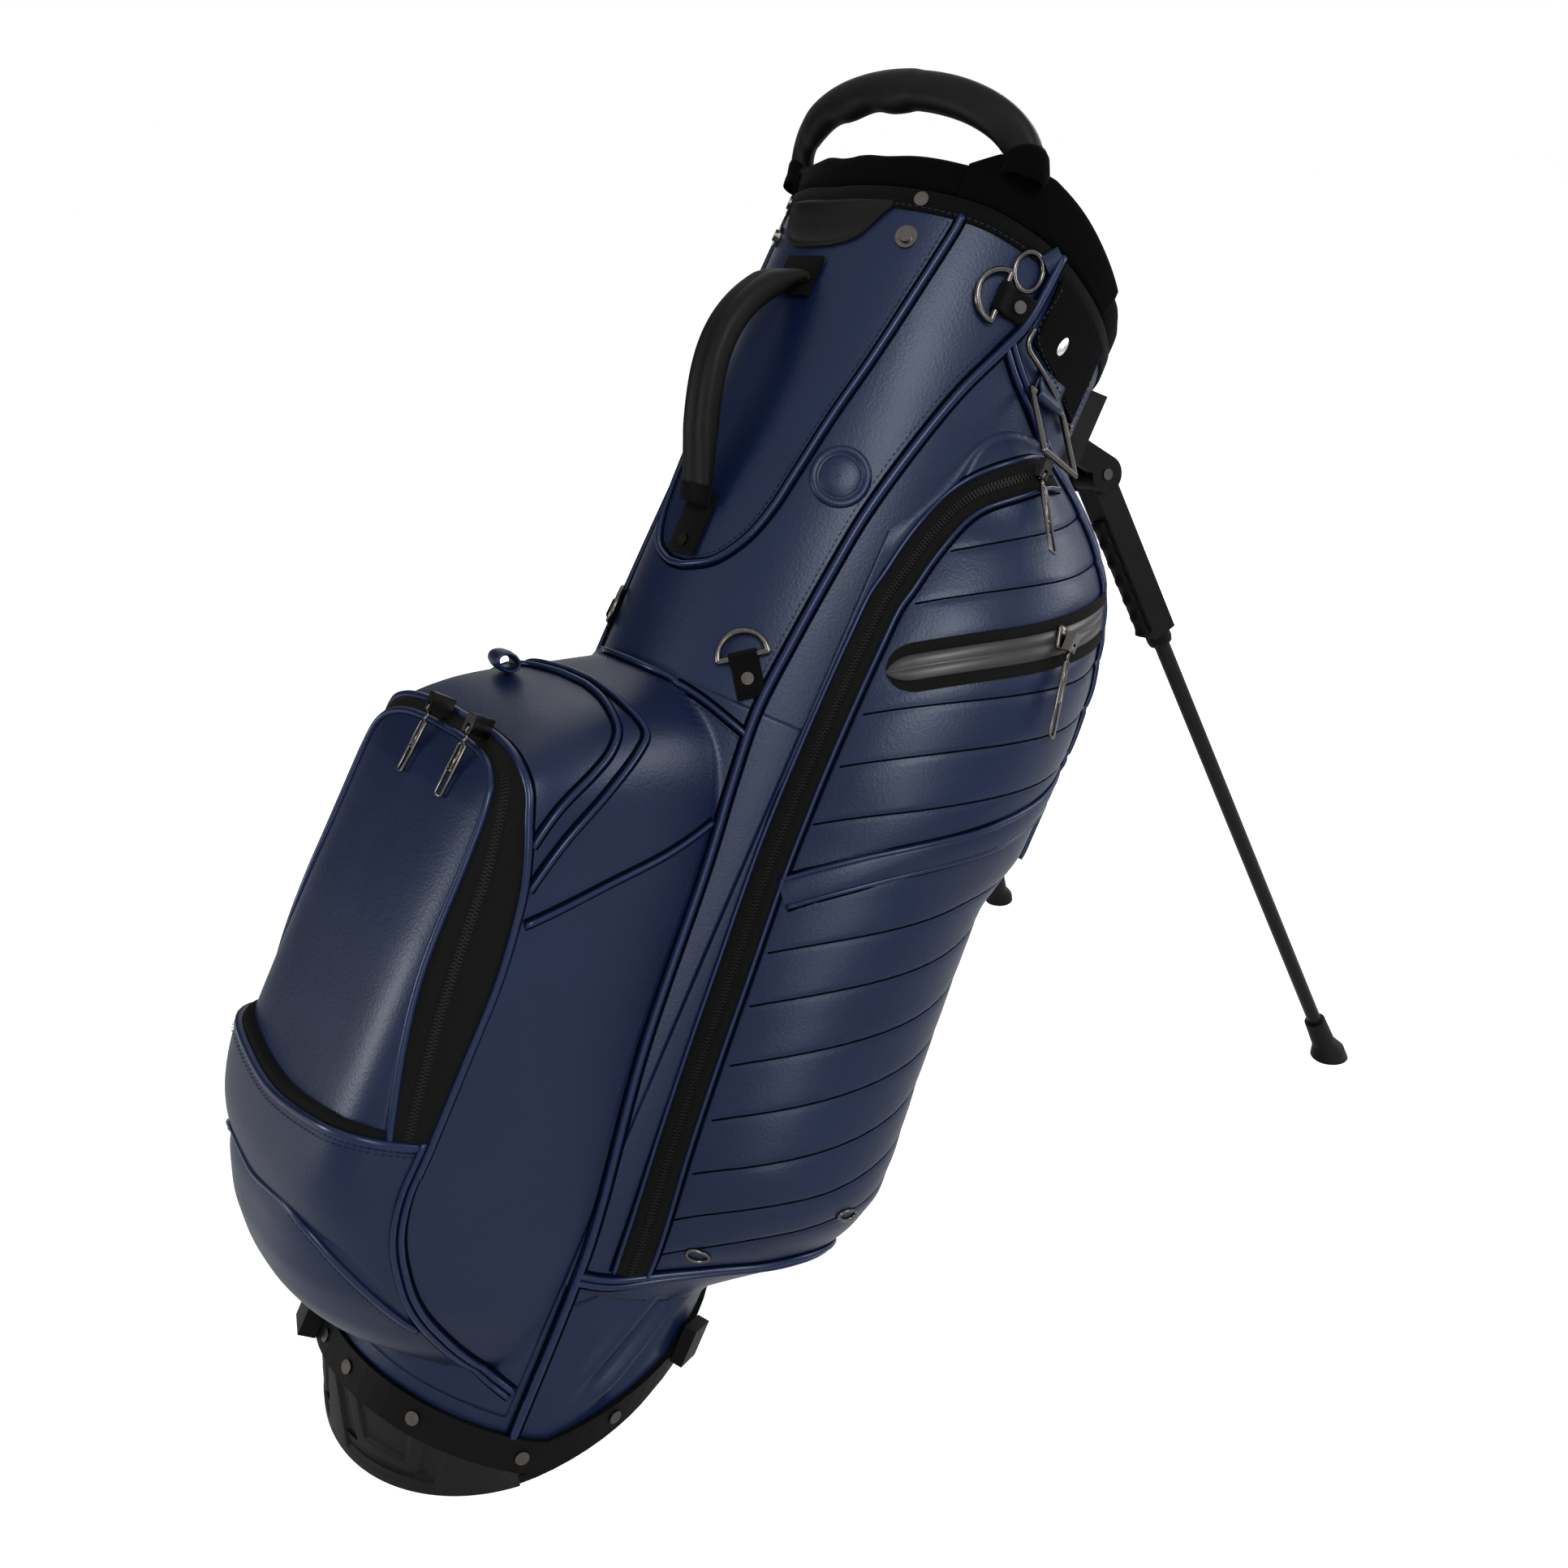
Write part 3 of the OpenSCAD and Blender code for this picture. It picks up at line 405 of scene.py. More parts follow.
def offset_cord(name, radius, path, across, r, lift):
    """A cord beside a path on a surface."""
    q, n = skin(radius, path[:, 0], path[:, 1])
    q = q + np.cross(n, directions(q)) * across + n * lift
    return tube_along(name, world(q), r / 1000, 8, up=spin(n))


def piped(radius, path, across=(0.0,), r=2.1, lift=1.5):
    """Piping cords beside a path, with near-black cords along them that paint the shade in the seam grooves.
    """
    cords = [paint(offset_cord("cord", radius, path, d, r, lift), MATS["piping"]) for d in across]
    # near-black cords beside and between the piping: painted shade where the seams' grooves fall dark
    beside = [min(across) - r - 0.8, max(across) + r + 0.8]
    beside += [(p + q) / 2 for p, q in zip(across, across[1:])]
    for d in beside:
        cords.append(paint(offset_cord("groove", radius, path, d, 0.85, 0.1), MATS["groove"]))
    return cords


def place_on(al, h, tilt=0.0):
    """A place on the leather and its outward, across and along directions, in the bag's frame."""
    a, t = math.radians(al), math.radians(tilt)
    out = np.array([-math.cos(a), -math.sin(a), 0.0])
    side = np.array([math.sin(a), -math.cos(a), 0.0])
    up = np.array([0, 0, 1.0])
    return (TUBE_R * out + up * h, out, side * math.cos(t) + up * math.sin(t),
            up * math.cos(t) - side * math.sin(t))


def loop_tab(place, wide, long, mat, flip=1):
    """A tab folded round the bar of a ring, 4 mm off the leather."""
    base, out, across, along = place
    k = np.radians(np.linspace(205, -50, 22))
    x = np.concatenate([[0.8, 0.8, 0.9], 4 + 3.1 * np.cos(k), [3.6, 2.6, 2.3, 2.3]])
    z = np.concatenate([[-long, -long / 2, -3.5], 3.1 * np.sin(k), [-5.5, -9, -long * 0.7, -long]]) * flip
    y = np.linspace(-wide / 2, wide / 2, 9) * flip
    pts = (base + out * x[:, None, None] + along * z[:, None, None] + across * y[None, :, None])
    return paint(thicken(grid("tab", world(pts)), 1.1, 0.0), mat)


def join(name, obs):
    """One mesh from several objects, modifiers applied, at the origin."""
    dg = bpy.context.evaluated_depsgraph_get()
    verts, faces, uvs, mats, index = [], [], [], [], []
    base = 0
    for ob in obs:
        dg.update()
        me = bpy.data.meshes.new_from_object(ob.evaluated_get(dg))
        co = np.empty(len(me.vertices) * 3)
        me.vertices.foreach_get("co", co)
        verts.append(co.reshape(-1, 3))
        mat = me.materials[0] if me.materials else None
        if mat not in mats:
            mats.append(mat)
        k = mats.index(mat)
        uv = np.zeros((len(me.loops), 2), np.float32)
        if me.uv_layers:
            flat = np.empty(len(me.loops) * 2, np.float32)
            me.uv_layers[0].data.foreach_get("uv", flat)
            uv = flat.reshape(-1, 2)
        uvs.append(uv)
        for f in me.polygons:
            faces.append(tuple(base + v for v in f.vertices))
            index.append(k)
        base += len(me.vertices)
        old = ob.data
        bpy.data.objects.remove(ob)
        bpy.data.meshes.remove(me)
        if old.users == 0:
            bpy.data.meshes.remove(old)
    out = mesh_object(name, np.vstack(verts), faces)
    layer = out.data.uv_layers.new(name="UVMap")
    layer.data.foreach_set("uv", np.vstack(uvs).ravel())
    for m in mats:
        out.data.materials.append(m)
    out.data.polygons.foreach_set("material_index", index)
    return out


def paint(ob, mat):
    """Gives an object one material."""
    ob.data.materials.clear()
    ob.data.materials.append(mat)
    return ob


def rest(ob, slot, body="bag", *nodes):
    """Rides on a body and stands for CAD nodes; slot is not used."""
    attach(ob, body)
    if nodes:
        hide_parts(*nodes)
    return ob


# Repeated trim by geometry nodes

def scatter(name, points, along, out, size, mat, kind="cube"):
    """Small cubes or beads on points, turned along a direction, tops outwards, as one plain mesh."""
    me = bpy.data.meshes.new(name + "_points")
    me.from_pydata([tuple(p) for p in points], [], [])
    for key, data in (("along", along), ("out", out)):
        attr = me.attributes.new(key, "FLOAT_VECTOR", "POINT")
        attr.data.foreach_set("vector", np.asarray(data, np.float32).ravel())
    ob = bpy.data.objects.new(name + "_points", me)
    bpy.context.scene.collection.objects.link(ob)
    tree = bpy.data.node_groups.new(name + "_nodes", "GeometryNodeTree")
    tree.interface.new_socket("Geometry", in_out="INPUT", socket_type="NodeSocketGeometry")
    tree.interface.new_socket("Geometry", in_out="OUTPUT", socket_type="NodeSocketGeometry")
    size_input = tree.interface.new_socket("Size", in_out="INPUT", socket_type="NodeSocketVector")
    node = tree.nodes.new
    link = tree.links.new
    gin, gout = node("NodeGroupInput"), node("NodeGroupOutput")
    pts = node("GeometryNodeMeshToPoints")
    inst = node("GeometryNodeInstanceOnPoints")
    axes = node("FunctionNodeAxesToRotation")
    axes.primary_axis, axes.secondary_axis = "Z", "X"
    if kind == "cube":
        shape = node("GeometryNodeMeshCube")
        link(gin.outputs["Size"], shape.inputs["Size"])
        made = shape.outputs["Mesh"]
    else:
        shape = node("GeometryNodeMeshIcoSphere")
        shape.inputs["Radius"].default_value = 0.5
        shape.inputs["Subdivisions"].default_value = 2
        form = node("GeometryNodeTransform")
        link(gin.outputs["Size"], form.inputs["Scale"])
        link(shape.outputs["Mesh"], form.inputs["Geometry"])
        made = form.outputs["Geometry"]
    for key, sock in (("out", "Primary Axis"), ("along", "Secondary Axis")):
        attr = node("GeometryNodeInputNamedAttribute")
        attr.data_type = "FLOAT_VECTOR"
        attr.inputs["Name"].default_value = key
        link(attr.outputs["Attribute"], axes.inputs[sock])
    real = node("GeometryNodeRealizeInstances")
    setm = node("GeometryNodeSetMaterial")
    setm.inputs["Material"].default_value = mat
    link(gin.outputs[0], pts.inputs["Mesh"])
    link(pts.outputs["Points"], inst.inputs["Points"])
    link(made, inst.inputs["Instance"])
    link(axes.outputs["Rotation"], inst.inputs["Rotation"])
    link(inst.outputs["Instances"], real.inputs["Geometry"])
    link(real.outputs["Geometry"], setm.inputs["Geometry"])
    link(setm.outputs["Geometry"], gout.inputs[0])
    mod = ob.modifiers.new("Trim", "NODES")
    mod.node_group = tree
    mod[size_input.identifier] = [s / 1000 for s in size]
    dg = bpy.context.evaluated_depsgraph_get()
    dg.update()
    flat = bpy.data.meshes.new_from_object(ob.evaluated_get(dg))
    flat.name = name
    if not flat.materials:
        flat.materials.append(mat)
    bpy.data.objects.remove(ob)
    bpy.data.meshes.remove(me)
    out_ob = bpy.data.objects.new(name, flat)
    bpy.context.scene.collection.objects.link(out_ob)
    if kind != "cube":
        flat.polygons.foreach_set("use_smooth", [True] * len(flat.polygons))
    return out_ob


def run_points(radius, path, pitch, lift, across=0.0, start=0.0):
    """Evenly spaced points along a path on a surface, with their directions, in the row frame."""
    fine = smooth_path(path, 1.0)
    p, n = skin(radius, fine[:, 0], fine[:, 1])
    t = directions(p)
    p = p + np.cross(n, t) * across + n * lift
    s = lengths(p)
    p, t, n = (resample(np.arange(start, s[-1], pitch), s, row) for row in (p, t, n))
    return world(p), spin(t), spin(n)


def stitches(name, radius, runs, mat, pitch=4.2, lift=0.35, size=(2.9, 0.75, 0.7)):
    """Rows of thread along several (path, offset) runs."""
    got = [run_points(radius, path, pitch, lift, across) for path, across in runs]
    return scatter(name, *(np.vstack(part) for part in zip(*got)), size, mat, "bead")


def teeth(name, radius, path, mat, lift=1.2, pitch=2.2):
    """Two meshed rows of zip teeth."""
    rows = ((1.15, 0.0), (-1.15, pitch / 2))
    got = [run_points(radius, path, pitch, lift, across, start) for across, start in rows]
    return scatter(name, *(np.vstack(part) for part in zip(*got)), (1.3, 2.9, 1.3), mat)


# Materials

class Nodes:
    """A material with its shader tree, and short ways to add nodes to it."""

    def __init__(self, name):
        self.mat = bpy.data.materials.new(name)
        self.mat.use_nodes = True
        self.tree = self.mat.node_tree
        self.tree.nodes.clear()
        self.out = self.add("ShaderNodeOutputMaterial")
        self.bsdf = self.add("ShaderNodeBsdfPrincipled")
        self.tree.links.new(self.bsdf.outputs[0], self.out.inputs["Surface"])
        self.coord = self.add("ShaderNodeTexCoord")

    def add(self, kind, **props):
        n = self.tree.nodes.new(kind)
        for k, v in props.items():
            setattr(n, k, v)
        return n

    def put(self, sock, value):
        if isinstance(value, bpy.types.NodeSocket):
            self.tree.links.new(value, sock)
        else:
            sock.default_value = value

    def noise(self, scale, detail=4.0, rough=0.55, uv=False):
        n = self.add("ShaderNodeTexNoise")
        self.put(n.inputs["Vector"], self.coord.outputs["UV" if uv else "Object"])
        n.inputs["Scale"].default_value = scale
        n.inputs["Detail"].default_value = detail
        n.inputs["Roughness"].default_value = rough
        return n.outputs["Fac"]

    def voronoi(self, scale, feature="F1", rand=1.0):
        n = self.add("ShaderNodeTexVoronoi", feature=feature)
        self.put(n.inputs["Vector"], self.coord.outputs["Object"])
        n.inputs["Scale"].default_value = scale
        n.inputs["Randomness"].default_value = rand
        return n.outputs["Distance"]

    def wave(self, scale, direction, uv=True, distort=0.0):
        n = self.add("ShaderNodeTexWave", bands_direction=direction)
        self.put(n.inputs["Vector"], self.coord.outputs["UV" if uv else "Object"])
        n.inputs["Scale"].default_value = scale
        n.inputs["Distortion"].default_value = distort
        return n.outputs["Fac"]

    def math(self, op, a, b=0.0, c=0.0):
        n = self.add("ShaderNodeMath", operation=op)
        for i, v in enumerate((a, b, c)):
            self.put(n.inputs[i], v)
        return n.outputs[0]

    def span(self, value, lo, hi, a=0.0, b=1.0):
        n = self.add("ShaderNodeMapRange")
        for key, v in (("Value", value), ("From Min", a), ("From Max", b), ("To Min", lo), ("To Max", hi)):
            self.put(n.inputs[key], v)
        return n.outputs[0]

    def mix(self, fac, a, b):
        # the node's colour sockets are inputs 6 and 7 and output 2
        n = self.add("ShaderNodeMix", data_type="RGBA")
        self.put(n.inputs[0], fac)
        for sock, colour in ((n.inputs[6], a), (n.inputs[7], b)):
            self.put(sock, (*colour, 1) if isinstance(colour, tuple) else colour)
        return n.outputs[2]

    def bump(self, height, strength, distance, normal=None):
        n = self.add("ShaderNodeBump")
        n.inputs["Strength"].default_value = strength
        n.inputs["Distance"].default_value = distance
        self.put(n.inputs["Height"], height)
        if normal is not None:
            self.put(n.inputs["Normal"], normal)
        return n.outputs[0]

    def set(self, **values):
        for k, v in values.items():
            key = k.replace("_", " ").title().replace("Ior", "IOR")
            v = (*v, 1) if isinstance(v, tuple) and len(v) == 3 else v
            self.put(self.bsdf.inputs[key], v)
        return self.mat


def grey(value):
    """A neutral colour."""
    return (value, value, value)


# Finishes in two tones mixed by noise: material name, tones, noise of the tones, noise of the relief
# where it is another, roughness or its span over the tones, strength and depth of the relief, and other
# sockets
FINISHES = {
    "piping": ("piping_leather", ((0.0020, 0.0068, 0.0310), (0.0032, 0.0100, 0.0430)), (500, 4, 0.6), None,
               0.30, (0.2, 0.0003), {"specular_ior_level": 0.30, "specular_tint": (0.80, 0.88, 1.0)}),
    # near-black cords that paint the shade in the seams' grooves
    "groove": ("seam_groove", ((0.0004, 0.0008, 0.0024), (0.0008, 0.0016, 0.005)), (500, 4, 0.6), None, 0.9,
               None, {"specular_ior_level": 0.02}),
    "plastic": ("moulded_plastic", (grey(0.0018), grey(0.0046)), (40, 4, 0.6), (900, 3, 0.6), (0.4, 0.55),
                (0.18, 0.0003), {"specular_ior_level": 0.06}),
    "head": ("grey_plastic", (grey(0.0020), grey(0.0052)), (30, 4, 0.6), (700, 3, 0.6), (0.4, 0.55),
             (0.2, 0.0003), {"specular_ior_level": 0.07}),
    "rubber": ("rubber", (grey(0.0020), grey(0.0052)), (60, 4, 0.6), (1100, 3, 0.6), (0.45, 0.6),
               (0.25, 0.0004), {"specular_ior_level": 0.11}),
    "metal": ("black_nickel", ((0.050, 0.046, 0.043), (0.13, 0.12, 0.112)), (300, 5, 0.7), None, (0.16, 0.32),
              (0.08, 0.0003), {"metallic": 1.0}),
    "nickel": ("bright_nickel", ((0.62, 0.61, 0.60), (0.80, 0.79, 0.78)), (300, 4, 0.6), None, (0.25, 0.4),
               (0.05, 0.0002), {"metallic": 1.0}),
    "tube": ("dark_tube", ((0.0030, 0.0030, 0.0032), (0.0075, 0.0075, 0.0080)), (160, 5, 0.7), None,
             (0.28, 0.4), (0.06, 0.0002), {"specular_ior_level": 0.12}),
    "coil": ("zip_coil", ((0.0026, 0.0026, 0.0025), (0.0075, 0.0075, 0.0072)), (700, 4, 0.6), None,
             (0.45, 0.6), (0.1, 0.0002), {"specular_ior_level": 0.1}),
    "shine": ("coated_zip", (grey(0.012), grey(0.024)), (24, 3, 0.6), (420, 4, 0.6), (0.34, 0.46),
              (0.12, 0.0004), {"specular_ior_level": 0.35}),
    "lining": ("lining", ((0.003, 0.003, 0.0033), (0.008, 0.008, 0.009)), (700, 4, 0.6), None, 0.9,
               (0.4, 0.0005), {"specular_ior_level": 0.05, "sheen_weight": 0.05}),
}
MATS = {}


def make_materials(p):
    """Fills MATS: leather, the woven finishes, and those of FINISHES."""
    n = Nodes("leather")
    grain = n.voronoi(620, "SMOOTH_F1")
    fine = n.noise(1400, 3, 0.6)
    broad = n.noise(9, 4, 0.6)
    creases = n.noise(45, 5, 0.6)
    col = n.mix(n.span(broad, 0, 1, 0.3, 0.72), p.leather_dark, p.leather_light)
    col = n.mix(n.span(grain, 0.0, 0.3, 0.0, 0.9), col, p.leather_pores)
    b = n.bump(creases, 0.12, 0.0016)
    b = n.bump(grain, p.grain, 0.00045, b)
    b = n.bump(fine, 0.08, 0.0002, b)
    rough = n.span(broad, p.leather_rough - 0.05, p.leather_rough + 0.06)
    MATS["leather"] = n.set(base_color=col, roughness=rough, normal=b, specular_ior_level=0.28,
                            specular_tint=(0.82, 0.90, 1.0))

    n = Nodes("webbing")
    w = n.math("MULTIPLY", n.wave(300, "X"), n.wave(170, "Y"))
    fuzz = n.noise(900, 3, 0.6)
    MATS["webbing"] = n.set(base_color=n.mix(w, (0.0016, 0.0015, 0.0015), (0.0070, 0.0068, 0.0066)),
                            specular_ior_level=0.03, roughness=n.span(fuzz, 0.62, 0.85),
                            normal=n.bump(w, 0.6, 0.0006, n.bump(fuzz, 0.2, 0.0003)),
                            sheen_weight=0.015, sheen_roughness=0.5)

    n = Nodes("zip_tape")
    w = n.wave(520, "Y")
    x = n.wave(260, "X")
    MATS["tape"] = n.set(base_color=n.mix(w, (0.0030, 0.0030, 0.0028), (0.0095, 0.0095, 0.0090)),
                         roughness=0.75, specular_ior_level=0.03,
                         normal=n.bump(n.math("ADD", w, n.math("MULTIPLY", x, 0.5)), 0.4, 0.0004),
                         sheen_weight=0.01)

    n = Nodes("cuff_cloth")
    w = n.voronoi(760, "F1", 0.6)
    big = n.noise(26, 4, 0.55)
    MATS["cuff"] = n.set(base_color=n.mix(big, (0.0008, 0.0008, 0.0010), (0.0024, 0.0024, 0.0028)),
                         roughness=n.span(big, 0.75, 0.9), specular_ior_level=0.015,
                         normal=n.bump(w, 0.35, 0.0005, n.bump(big, 0.3, 0.003)), sheen_weight=0.01)

    n = Nodes("hook_tape")
    w = n.voronoi(1300, "F1", 1.0)
    f = n.noise(500, 5, 0.7)
    MATS["hook"] = n.set(base_color=n.mix(f, (0.0010, 0.0010, 0.0010), (0.0036, 0.0036, 0.0036)),
                         roughness=0.95, specular_ior_level=0.02, sheen_weight=0.01,
                         normal=n.bump(w, 0.9, 0.0012))

    n = Nodes("thread")
    f = n.wave(900, "X", uv=False, distort=2.0)
    MATS["thread"] = n.set(base_color=n.mix(f, (0.002, 0.005, 0.018), (0.012, 0.021, 0.055)), roughness=0.6,
                           specular_ior_level=0.15)

    for key, (name, tones, tone_noise, bump_noise, rough, bump, sockets) in FINISHES.items():
        n = Nodes(name)
        tone = n.noise(*tone_noise)
        relief = n.noise(*bump_noise) if bump_noise else tone
        if bump:
            sockets = dict(sockets, normal=n.bump(relief, *bump))
        rough = n.span(tone, *rough) if isinstance(rough, tuple) else rough
        MATS[key] = n.set(base_color=n.mix(tone, *tones), roughness=rough, **sockets)


class StandBagSettings(bpy.types.PropertyGroup):
    """Sizes, colours and light that a user may change"""
    leather_dark: bpy.props.FloatVectorProperty(
        name="Leather, darker tone", description="Darker of the two slow tones of the leather",
        subtype="COLOR", default=(0.0021, 0.0064, 0.0285), min=0.0, max=1.0)
    leather_light: bpy.props.FloatVectorProperty(
        name="Leather, lighter tone", description="Lighter of the two slow tones of the leather",
        subtype="COLOR", default=(0.0034, 0.0094, 0.0385), min=0.0, max=1.0)
    leather_pores: bpy.props.FloatVectorProperty(
        name="Leather pores", description="Colour between the pebbles of the grain",
        subtype="COLOR", default=(0.0010, 0.0028, 0.0120), min=0.0, max=1.0)
    leather_rough: bpy.props.FloatProperty(
        name="Leather roughness", description="Mean roughness of the leather",
        subtype="FACTOR", default=0.39, min=0.2, max=0.7)
    grain: bpy.props.FloatProperty(
        name="Grain strength", description="Strength of the pebbled grain of the leather",
        subtype="FACTOR", default=0.22, min=0.0, max=1.0)
    stitch_pitch: bpy.props.FloatProperty(
        name="Stitch pitch", description="Distance from one stitch to the next",
        subtype="DISTANCE", unit="LENGTH", default=0.0042, min=0.0025, max=0.008)
    piping_r: bpy.props.FloatProperty(
        name="Piping radius", description="Radius of the piping cords along the seams",
        subtype="DISTANCE", unit="LENGTH", default=0.0021, min=0.001, max=0.004)
    key_power: bpy.props.FloatProperty(
        name="Lamp power", description="Power that each lamp takes a share of",
        unit="POWER", default=44.0, min=1.0, max=200.0)
    ambient: bpy.props.FloatProperty(
        name="Ambient light", description="Strength of the surroundings as a light",
        subtype="FACTOR", default=0.12, min=0.0, max=1.0)


SETTING_NAMES = tuple(StandBagSettings.__annotations__)


def settings():
    """The scene's settings as plain values, with lengths in millimetres."""
    p = SimpleNamespace()
    for key in SETTING_NAMES:
        value = getattr(bpy.context.scene.stand_bag, key)
        if key in ("stitch_pitch", "piping_r"):
            value = round(value * 1000, 4)
        setattr(p, key, value if isinstance(value, float) else tuple(value))
    return p


# Seam paths on the bag, as (angle, height); mirrored for the far side
U_SEAM = [(43, 827), (42, 808), (36, 735), (31, 686), (27.5, 645), (25, 618), (21, 596), (14, 578),
          (5, 570), (0, 569)]
LONG_SEAM = [(75, 834), (73, 790), (69, 766), (62, 730), (56, 686), (51, 639), (48.5, 599), (46, 546),
             (44.5, 500), (46, 455), (49, 395), (53, 279), (60, 175), (62, 120), (63, 20)]
STRAP_SEAM = [(70.5, 772), (79.5, 756), (91, 743), (102, 731), (108, 712), (113, 690), (117, 662),
              (120, 620), (122, 560), (123, 480)]
ZIP_SIDE = [(77.5, 140), (74.5, 190), (71.8, 245), (68.6, 338), (65.5, 450), (65.8, 572), (67.8, 609),
            (72.2, 648), (79, 678), (88, 702), (96, 711)]
HEM_SIDE = [(62, 131), (75, 135), (90, 153), (100, 171), (110, 187), (122, 193), (135, 178), (147, 142)]
PANEL_SEAM = [(24.5, 172), (23.1, 202), (20.9, 251), (19.7, 286), (19.2, 319), (19, 362), (18.4, 392),
              (16.6, 406), (12.3, 413.5), (5, 416), (0, 416)]
GUSSET_SEAM = [(59, 48), (50.4, 55.5), (41.6, 70), (35.6, 86), (31.5, 104), (28.9, 126), (27.7, 146),
               (27.2, 172), (27.3, 200), (27.2, 260), (27.1, 300), (26.5, 335), (25.7, 362), (24.1, 388),
               (21.5, 411), (16, 422.5), (6, 426.5), (0, 426.5)]
SHELF_SEAMS = [[(25.2, 380), (25.7, 403), (26.3, 428), (25.6, 446), (22.7, 459), (16, 468), (7, 472),
                (0.5, 472.6)],
               [(26.5, 356), (27.6, 387), (28.8, 422), (28.4, 449), (26, 463), (18, 471.5), (7, 475.6),
                (0.5, 476.2)]]


def mirrored(path, side):
    """A seam path on one side of the bag."""
    return [(side * a, h) for a, h in path]


def over_spine(path):
    """A seam from one side of the bag over the spine to the other."""
    half = smooth_path(path, 3)
    return np.vstack([half, (half * (-1, 1))[::-1]])


class BAG_OT_materials(bpy.types.Operator):
    """Leather, cloth, plastic, rubber and metal finishes"""
    bl_idname = "stand_bag.materials"
    bl_label = "Materials"

    def execute(self, context):
        make_materials(settings())
        return {"FINISHED"}


class BAG_OT_tube(bpy.types.Operator):
    """Leather tube with its seams and piping"""
    bl_idname = "stand_bag.tube"
    bl_label = "Leather tube"

    def execute(self, context):
        p = settings()
        leather = MATS["leather"]
        al = np.linspace(-180, 180, 181)[:-1, None]
        foot = low(al, TUBE_R) + 1
        h = foot + np.linspace(0, 1, 120)[None, :] * (RIM(turn(al)) - foot)
        al, h = np.broadcast_arrays(al, h)
        pts, _ = skin(tube_r, al, h)
        uv = np.stack([np.radians(al) * 0.121, h / 1000], -1)
        tube = thicken(grid("leather_tube", world(pts), wrap_i=True, uv=uv), 4.0)
        rest(paint(tube, leather), "leather", "bag", "spine_panel", "side_panel_right", "side_panel_left",
             "belly_panel")
        u = smooth_path(U_SEAM + mirrored(U_SEAM[-2::-1], -1), 3)
        cords = piped(tube_r, u, (1.5,), p.piping_r + 0.3, 1.2)
        runs = [(u, -4.5)]
        for side in (-1, 1):
            path = smooth_path(mirrored(LONG_SEAM, side), 3)
            cords += piped(seam_r, path, (2.5,), p.piping_r + 0.8, 1.2)
            runs.append((path[path[:, 1] > 520], -4.5))
            belly = smooth_path([(side * 151, 120), (side * 151, 400), (side * 151, 760)], 6)
            cords += piped(tube_r, belly, (0.0,), p.piping_r)
            strap = smooth_path(mirrored(STRAP_SEAM, side), 3)
            cords += piped(side_r, strap, (-2.6, 2.6), p.piping_r)
            tack = np.linspace((63.8, 108), (72, 120), 17) + np.outer(np.arange(17) % 2 * 2 - 1, (0.3, 2.2))
            runs.append((tack * (side, 1), 0))
        rest(join("tube_piping", cords), "leather")
        rest(stitches("tube_stitches", tube_r, runs, MATS["thread"], p.stitch_pitch), "leather")
        return {"FINISHED"}


